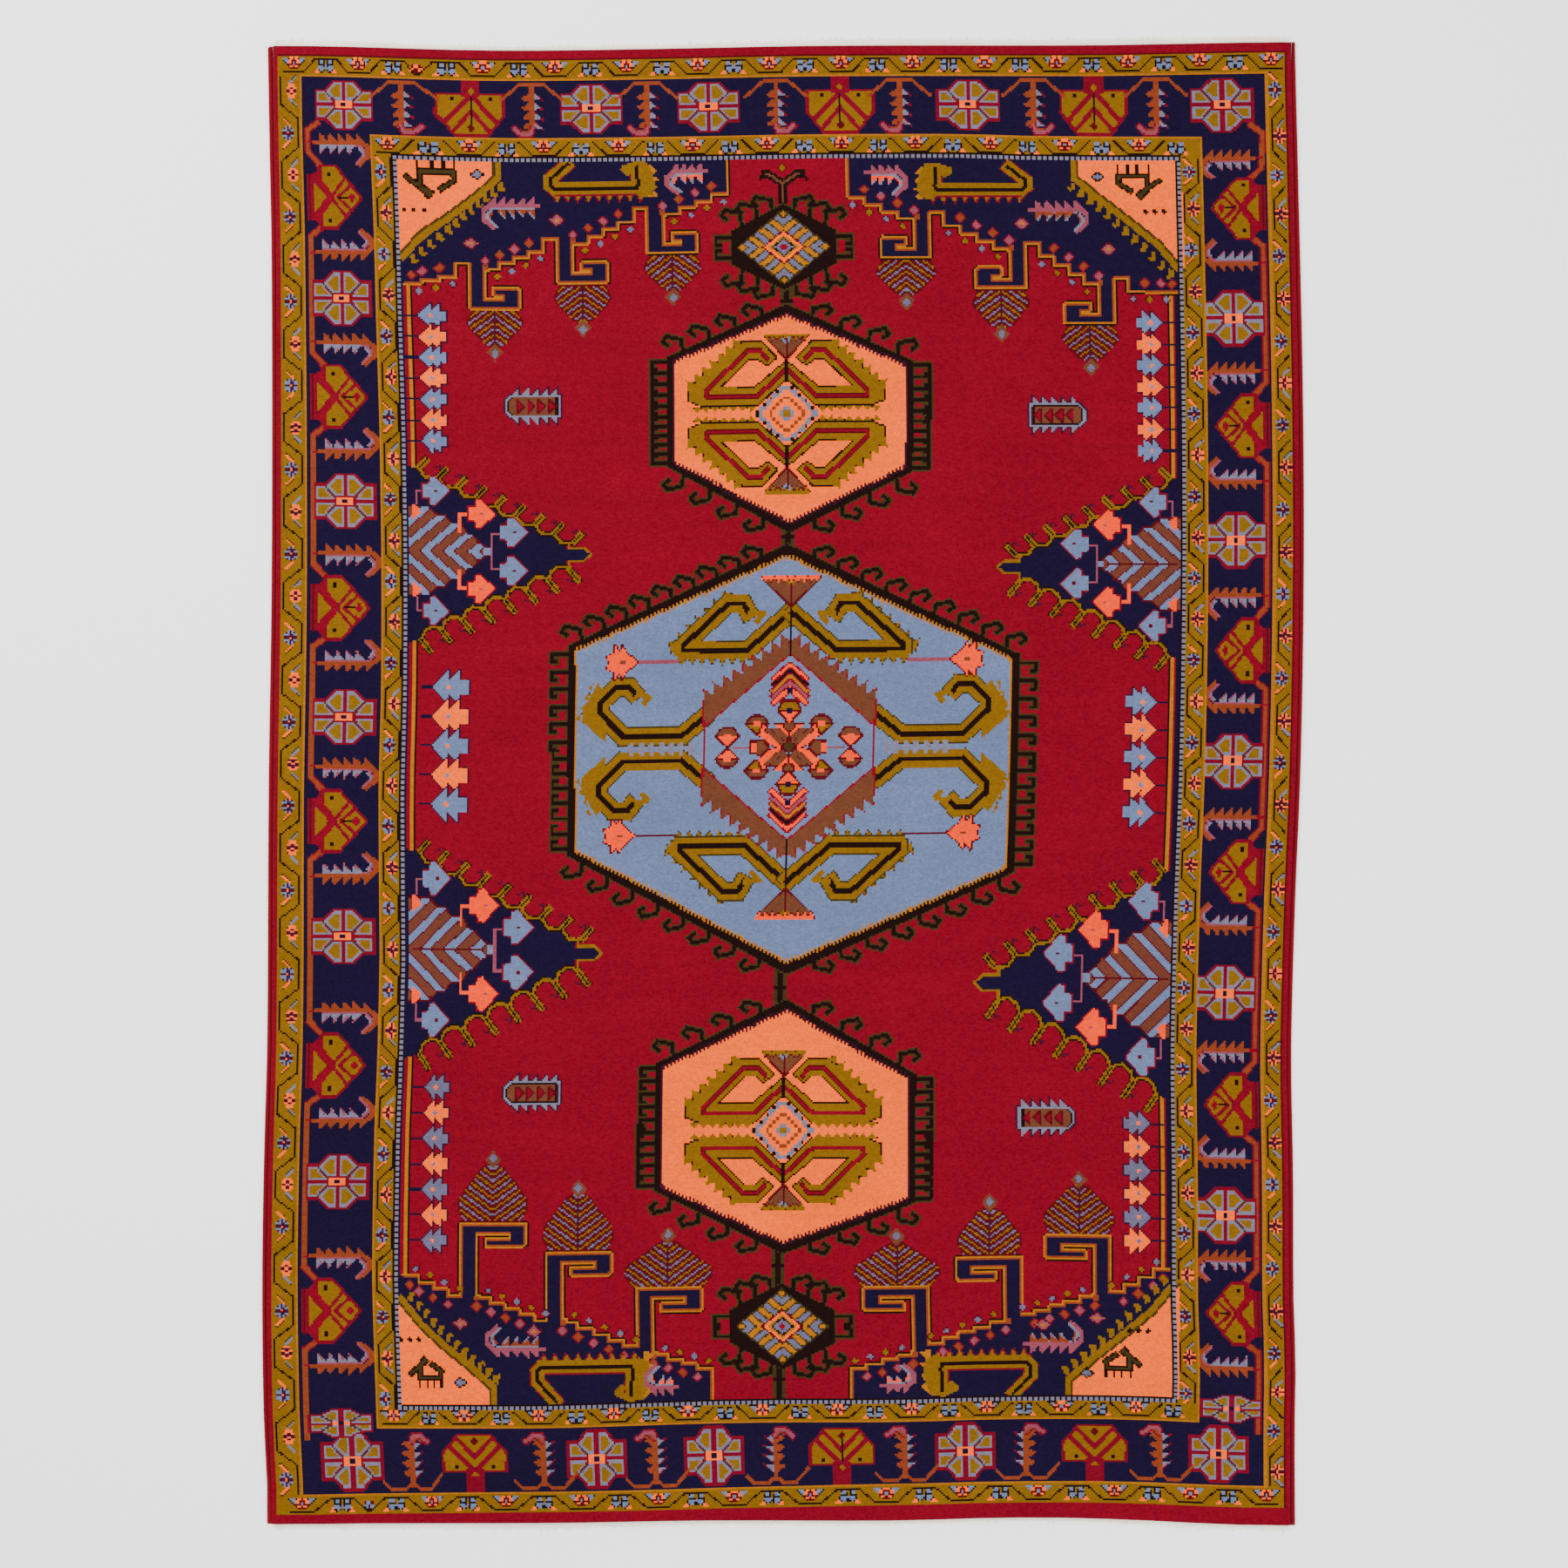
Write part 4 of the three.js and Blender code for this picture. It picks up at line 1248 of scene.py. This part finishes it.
class Nodes:
    """Short way to add and join shader nodes."""

    def __init__(self, name, roughness, sheen=0.0, sheen_tint=(1, 1, 1, 1)):
        values = {"Roughness": roughness, "Specular IOR Level": SPECULAR, "Sheen Weight": sheen,
                  "Sheen Roughness": SHEEN_ROUGHNESS, "Sheen Tint": sheen_tint}
        self.material = bpy.data.materials.new(name)
        self.material.use_nodes = True
        self.tree = self.material.node_tree
        self.shader = self.tree.nodes["Principled BSDF"]
        self.fill_in(self.shader, values)

    def fill_in(self, node, values):
        for name, value in values.items():
            node.inputs[name].default_value = value
        return node

    def add(self, kind, values=(), **settings):
        node = self.tree.nodes.new(kind)
        for name, value in settings.items():
            setattr(node, name, value)
        return self.fill_in(node, dict(values))

    def join(self, source, target):
        self.tree.links.new(source, target)
        return source

    def place(self, scale):
        """Object coordinates stretched by a scale for each axis."""
        coordinates = self.add("ShaderNodeTexCoord")
        mapping = self.add("ShaderNodeMapping", {"Scale": scale})
        self.join(coordinates.outputs["Object"], mapping.inputs["Vector"])
        return mapping.outputs["Vector"]

    def noise(self, scale, detail=2.0, roughness=0.5):
        node = self.add("ShaderNodeTexNoise", {"Scale": 1.0, "Detail": detail, "Roughness": roughness})
        self.join(self.place(scale), node.inputs["Vector"])
        return node.outputs["Fac"]

    def spread(self, value, low, high):
        """Maps the middle of a noise to a range of factors."""
        node = self.add("ShaderNodeMapRange", {"From Min": NOISE_RANGE[0], "From Max": NOISE_RANGE[1],
                                               "To Min": low, "To Max": high})
        self.join(value, node.inputs["Value"])
        return node.outputs["Result"]

    def times(self, first, second):
        node = self.add("ShaderNodeMath", operation="MULTIPLY")
        self.join(first, node.inputs[0])
        self.join(second, node.inputs[1])
        return node.outputs[0]

    def tint(self, colour, factor):
        """Colour made lighter or darker by a factor."""
        node = self.add("ShaderNodeVectorMath", operation="SCALE")
        self.join(colour, node.inputs[0])
        self.join(factor, node.inputs["Scale"])
        return node.outputs["Vector"]

    def bump(self, height, distance):
        node = self.add("ShaderNodeBump", {"Strength": BUMP_STRENGTH, "Distance": distance})
        self.join(height, node.inputs["Height"])
        self.join(node.outputs["Normal"], self.shader.inputs["Normal"])


def wool_pile():
    """Short wool pile: the chart's yarns with tufts, bands between dye lots and soft, slightly lighter and
    darker patches.
    """
    nodes = Nodes("wool_pile", 0.92, SHEEN, (1.0, 0.6, 0.6, 1.0))
    yarn = nodes.add("ShaderNodeAttribute", attribute_name="yarn").outputs["Color"]
    tufts = nodes.noise((420, 420, 420), 3.0, 0.6)
    knots = nodes.noise((130, 210, 130), 2.0, 0.55)
    bands = nodes.noise((1.2, 34, 1), 3.0, 0.6)
    patches = nodes.noise((5, 6, 5), 2.0, 0.5)
    factor = nodes.times(nodes.spread(tufts, 0.78, 1.2), nodes.spread(knots, 0.86, 1.12))
    factor = nodes.times(factor, nodes.times(nodes.spread(bands, 0.95, 1.04),
                                             nodes.spread(patches, 0.95, 1.05)))
    nodes.join(nodes.tint(yarn, factor), nodes.shader.inputs["Base Color"])
    nodes.join(nodes.spread(knots, 0.98, 0.84), nodes.shader.inputs["Roughness"])
    nodes.bump(nodes.times(tufts, nodes.spread(knots, 0.5, 1.0)), 0.0016)
    return nodes.material


def plain_cloth(name, colour, scale, depth):
    """Plain yarn or cloth of one colour with a fine grain."""
    nodes = Nodes(name, 0.9, SHEEN)
    base = nodes.add("ShaderNodeRGB")
    base.outputs[0].default_value = linear(colour) + (1.0,)
    grain = nodes.noise(scale, 3.0, 0.6)
    soft = nodes.noise((14, 9, 14), 2.0)
    factor = nodes.times(nodes.spread(grain, 0.84, 1.14), nodes.spread(soft, 0.92, 1.06))
    nodes.join(nodes.tint(base.outputs[0], factor), nodes.shader.inputs["Base Color"])
    nodes.join(nodes.spread(grain, 0.96, 0.84), nodes.shader.inputs["Roughness"])
    nodes.bump(grain, depth)
    return nodes.material


# How far the foundation lies in from the edge, in metres, so that the pile covers it
GROUND_INSET = 0.0004


def foundation(material):
    """Woven ground of the carpet under its pile, one flat closed sheet."""
    columns, rows = cut_lines(WIDE, ()), cut_lines(LONG, ())
    points, faces = [], []
    for height in (0.0, BASE_TOP):
        for r in rows:
            x, y = on_cloth(columns, [r] * len(columns), GROUND_INSET)
            points += [(a, b, height) for a, b in zip(x, y)]
    wide, high = len(columns), len(rows)
    layer = wide * high
    for r in range(high - 1):
        for c in range(wide - 1):
            a, b, d, e = r * wide + c, r * wide + c + 1, (r + 1) * wide + c + 1, (r + 1) * wide + c
            faces.append((a, e, d, b))
            faces.append((a + layer, b + layer, d + layer, e + layer))
    rim = list(range(wide)) + [r * wide + wide - 1 for r in range(1, high)]
    rim += [(high - 1) * wide + c for c in range(wide - 2, -1, -1)]
    rim += [r * wide for r in range(high - 2, 0, -1)]
    for a, b in zip(rim, rim[1:] + rim[:1]):
        faces.append((a, b, b + layer, a + layer))
    mesh = bpy.data.meshes.new("foundation")
    mesh.from_pydata(points, [], faces)
    return piece("foundation", mesh, material)


# Wound side cords in metres: pitch of the yarn's turns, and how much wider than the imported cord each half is
TURN_PITCH = 0.0042
CORD_SWELL = 0.0012
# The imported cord's inner corners lie within the first of the carpet's edge, its outer ones past the second
CORD_SIDES = (0.004, 0.006)
# Steps along one turn of yarn and round the section
TURN_STEPS = 4
ROUND_STEPS = 9
# Depth of a groove between turns, flatness of the top, and height at an end, as shares; steps from there up
GROOVE = 0.1
TOP_POWER = 0.7
END_HEIGHT = 0.35
END_STEPS = 3
# Angles below this, in degrees, are shaded smooth on cords and warp ends
YARN_SMOOTH = 80


def selvedge(node_name, material):
    """Side cord wound with yarn: a flat-bottomed bar with slanting ridges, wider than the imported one."""
    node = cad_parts[node_name]
    points = np.array([v.co[:] for v in node.data.vertices])
    flat = points[points[:, 2] < ON_FLOOR]
    sign = -1 if flat[:, 0].mean() < 0 else 1
    edge = np.interp(flat[:, 1], *(LEFT_EDGE if sign < 0 else RIGHT_EDGE))
    out = np.abs(flat[:, 0] - edge)
    inner, outer = flat[out < CORD_SIDES[0]], flat[out > CORD_SIDES[1]]
    inner, outer = inner[np.argsort(inner[:, 1])], outer[np.argsort(outer[:, 1])]
    low, high = flat[:, 1].min(), flat[:, 1].max()
    height = points[:, 2].max()
    turns = int((high - low) / TURN_PITCH)
    count = turns * TURN_STEPS
    vertices, faces = [], []
    for k in range(count + 1):
        y = low + (high - low) * k / count
        a, b = np.interp(y, inner[:, 1], inner[:, 0]), np.interp(y, outer[:, 1], outer[:, 0])
        centre, half = (a + b) / 2, abs(b - a) / 2 + CORD_SWELL
        end = min(1.0, END_HEIGHT + (1 - END_HEIGHT) * min(k, count - k) / END_STEPS)
        for j in range(ROUND_STEPS):
            angle = math.pi * j / (ROUND_STEPS - 1)
            turn = 2 * math.pi * (k / TURN_STEPS + 0.5 * j / (ROUND_STEPS - 1))
            ridge = 1 - GROOVE * (0.5 + 0.5 * math.cos(turn))
            vertices.append((centre + sign * half * math.cos(angle) * (1 - (1 - ridge) * 0.5), y,
                             height * math.sin(angle) ** TOP_POWER * ridge * end))
    for k in range(count):
        for j in range(ROUND_STEPS):
            n = (j + 1) % ROUND_STEPS
            a, b = k * ROUND_STEPS + j, k * ROUND_STEPS + n
            quad = (a, b, b + ROUND_STEPS, a + ROUND_STEPS)
            faces.append(quad if sign < 0 else quad[::-1])
    first = tuple(range(ROUND_STEPS))
    last = tuple(count * ROUND_STEPS + j for j in range(ROUND_STEPS))
    faces.append(first[::-1] if sign < 0 else first)
    faces.append(last if sign < 0 else last[::-1])
    mesh = bpy.data.meshes.new(node_name + "_wound")
    mesh.from_pydata(vertices, [], faces)
    thing = piece(node_name + "_wound", mesh, material, YARN_SMOOTH)
    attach(thing, "root")
    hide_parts(node_name)
    return thing


# Loose warp ends: how many at each end, and steps along one
WARP_ENDS = 480
WARP_STEPS = 3
# In metres: margin from the web's sides, reach in which the web's tip is looked for, least and most length
# and radius, how far behind the tip they start with the most that is added, and height of their roots
WARP_MARGIN = 0.004
TIP_REACH = 0.009
WARP_LENGTH = (0.003, 0.0075)
WARP_RADIUS = (0.0003, 0.00045)
WARP_START = (0.0045, 0.002)
ROOT_HEIGHT = 0.0016


def warp_ends(name, node_name, toward, material, draw):
    """Loose cotton warp ends that lie past the woven web at one end."""
    points = np.array([v.co[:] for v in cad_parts[node_name].data.vertices])
    low, high = points[:, 0].min() + WARP_MARGIN, points[:, 0].max() - WARP_MARGIN
    vertices, faces = [], []
    for k in range(WARP_ENDS):
        x = low + (high - low) * (k + draw.uniform(0.1, 0.9)) / WARP_ENDS
        near = points[np.abs(points[:, 0] - x) < TIP_REACH]
        tip = near[:, 1].max() if toward > 0 else near[:, 1].min()
        length = draw.uniform(*WARP_LENGTH)
        start = tip - toward * (WARP_START[0] + WARP_START[1] * draw.random())
        lean = draw.uniform(-0.5, 0.5)
        bend = draw.uniform(-0.35, 0.35)
        radius = draw.uniform(*WARP_RADIUS)
        base = len(vertices)
        for step in range(WARP_STEPS + 1):
            share = step / WARP_STEPS
            cx = x + length * (lean * share + bend * share * share)
            cy = start + toward * length * share
            cz = ROOT_HEIGHT * (1 - share) + radius * 1.05
            thick = radius * (1 - 0.3 * share)
            for side in range(3):
                angle = 2 * math.pi * side / 3 + math.pi / 2
                vertices.append((cx + thick * math.cos(angle), cy, max(cz + thick * math.sin(angle), 0.0)))
        for step in range(WARP_STEPS):
            for side in range(3):
                a, b = base + step * 3 + side, base + step * 3 + (side + 1) % 3
                quad = (a, b, b + 3, a + 3)
                faces.append(quad if toward < 0 else quad[::-1])
        first = (base, base + 1, base + 2)
        last = tuple(number + WARP_STEPS * 3 for number in first)
        faces.append(first[::-1] if toward < 0 else first)
        faces.append(last if toward < 0 else last[::-1])
    mesh = bpy.data.meshes.new(name)
    mesh.from_pydata(vertices, [], faces)
    thing = piece(name, mesh, material, YARN_SMOOTH)
    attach(thing, "root")
    return thing


# The photograph shows 3.186 m across, its middle just beside the carpet's
FRAME_WIDTH = 3.186
CAMERA_X, CAMERA_Y = 0.0018, -0.0009
LENS = 85
SENSOR = 36
# Floor: half its width in metres and its brightness
FLOOR_REACH = 12
FLOOR_WHITE = 0.97
# Lamps: name, width in metres, power in watts and place
LAMPS = (("key", 4.0, 370, (-2.6, 2.4, 4.2)), ("fill", 5.0, 250, (3.0, -2.4, 4.6)))
SKY = 1.5


def direction(place):
    """Turn that points a lamp at the carpet's middle."""
    return (-Vector(place)).to_track_quat("-Z", "Y").to_euler()


def studio():
    """Pale floor, soft light from above and a camera straight over the carpet."""
    link = bpy.context.scene.collection.objects.link
    floor_mesh = bpy.data.meshes.new("floor")
    corners = [(x * FLOOR_REACH, y * FLOOR_REACH, 0) for x, y in ((-1, -1), (1, -1), (1, 1), (-1, 1))]
    floor_mesh.from_pydata(corners, [], [(0, 1, 2, 3)])
    floor = bpy.data.objects.new("floor", floor_mesh)
    link(floor)
    paint = Nodes("floor_paint", 0.9)
    paint.shader.inputs["Base Color"].default_value = (FLOOR_WHITE, FLOOR_WHITE, FLOOR_WHITE, 1)
    floor_mesh.materials.append(paint.material)
    for name, size, power, place in LAMPS:
        data = bpy.data.lights.new(name, "AREA")
        data.size = size
        data.energy = power
        lamp = bpy.data.objects.new(name, data)
        lamp.location = place
        lamp.rotation_euler = direction(place)
        link(lamp)
    world = bpy.data.worlds.new("studio")
    world.use_nodes = True
    background = world.node_tree.nodes["Background"]
    background.inputs["Color"].default_value = (1, 1, 1, 1)
    background.inputs["Strength"].default_value = SKY
    bpy.context.scene.world = world
    data = bpy.data.cameras.new("camera")
    data.lens = LENS
    data.sensor_width = SENSOR
    camera = bpy.data.objects.new("camera", data)
    camera.location = (CAMERA_X, CAMERA_Y, FRAME_WIDTH * data.lens / data.sensor_width + PILE_TOP)
    link(camera)
    bpy.context.scene.camera = camera


def field_cells():
    """Cell box inside the outer edge of the beaded line."""
    halves = (WIDE / 2, LONG / 2) * 2
    return tuple(int(round(place + half)) for place, half in zip(BARBER, halves))


# Plain yarns as sRGB colours, and the seed of the warp ends
GROUND_COTTON = (214, 198, 170)
WRAP_RED = (104, 2, 15)
WEB_COTTON = (238, 230, 214)
WARP_SEED = 7


def dress():
    cells = carpet_chart().cells
    box = field_cells()
    inside = np.zeros((LONG, WIDE), dtype=bool)
    inside[box[1]:box[3], box[0]:box[2]] = True
    wool = wool_pile()
    field = PileMesh("pile_field", cells, inside, box).make(wool)
    border = PileMesh("pile_border", cells, ~inside, box).make(wool)
    ground = foundation(plain_cloth("cotton_ground", GROUND_COTTON, (300, 300, 300), 0.0004))
    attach(ground, "root")
    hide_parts("rug_body")
    for layer in (field, border):
        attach(layer, "root")
    wrap = plain_cloth("side_wrap_yarn", WRAP_RED, (900, 260, 900), 0.0006)
    sides = [selvedge("selvedge_left", wrap), selvedge("selvedge_right", wrap)]
    cotton = plain_cloth("cotton_web_yarn", WEB_COTTON, (1100, 700, 1100), 0.0004)
    for name in ("end_web_far", "end_web_near"):
        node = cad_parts[name]
        node.material_slots[0].material = cotton
    draw = random.Random(WARP_SEED)
    ends = [warp_ends("warp_ends_far", "end_web_far", 1, cotton, draw),
            warp_ends("warp_ends_near", "end_web_near", -1, cotton, draw)]


dress()
studio()
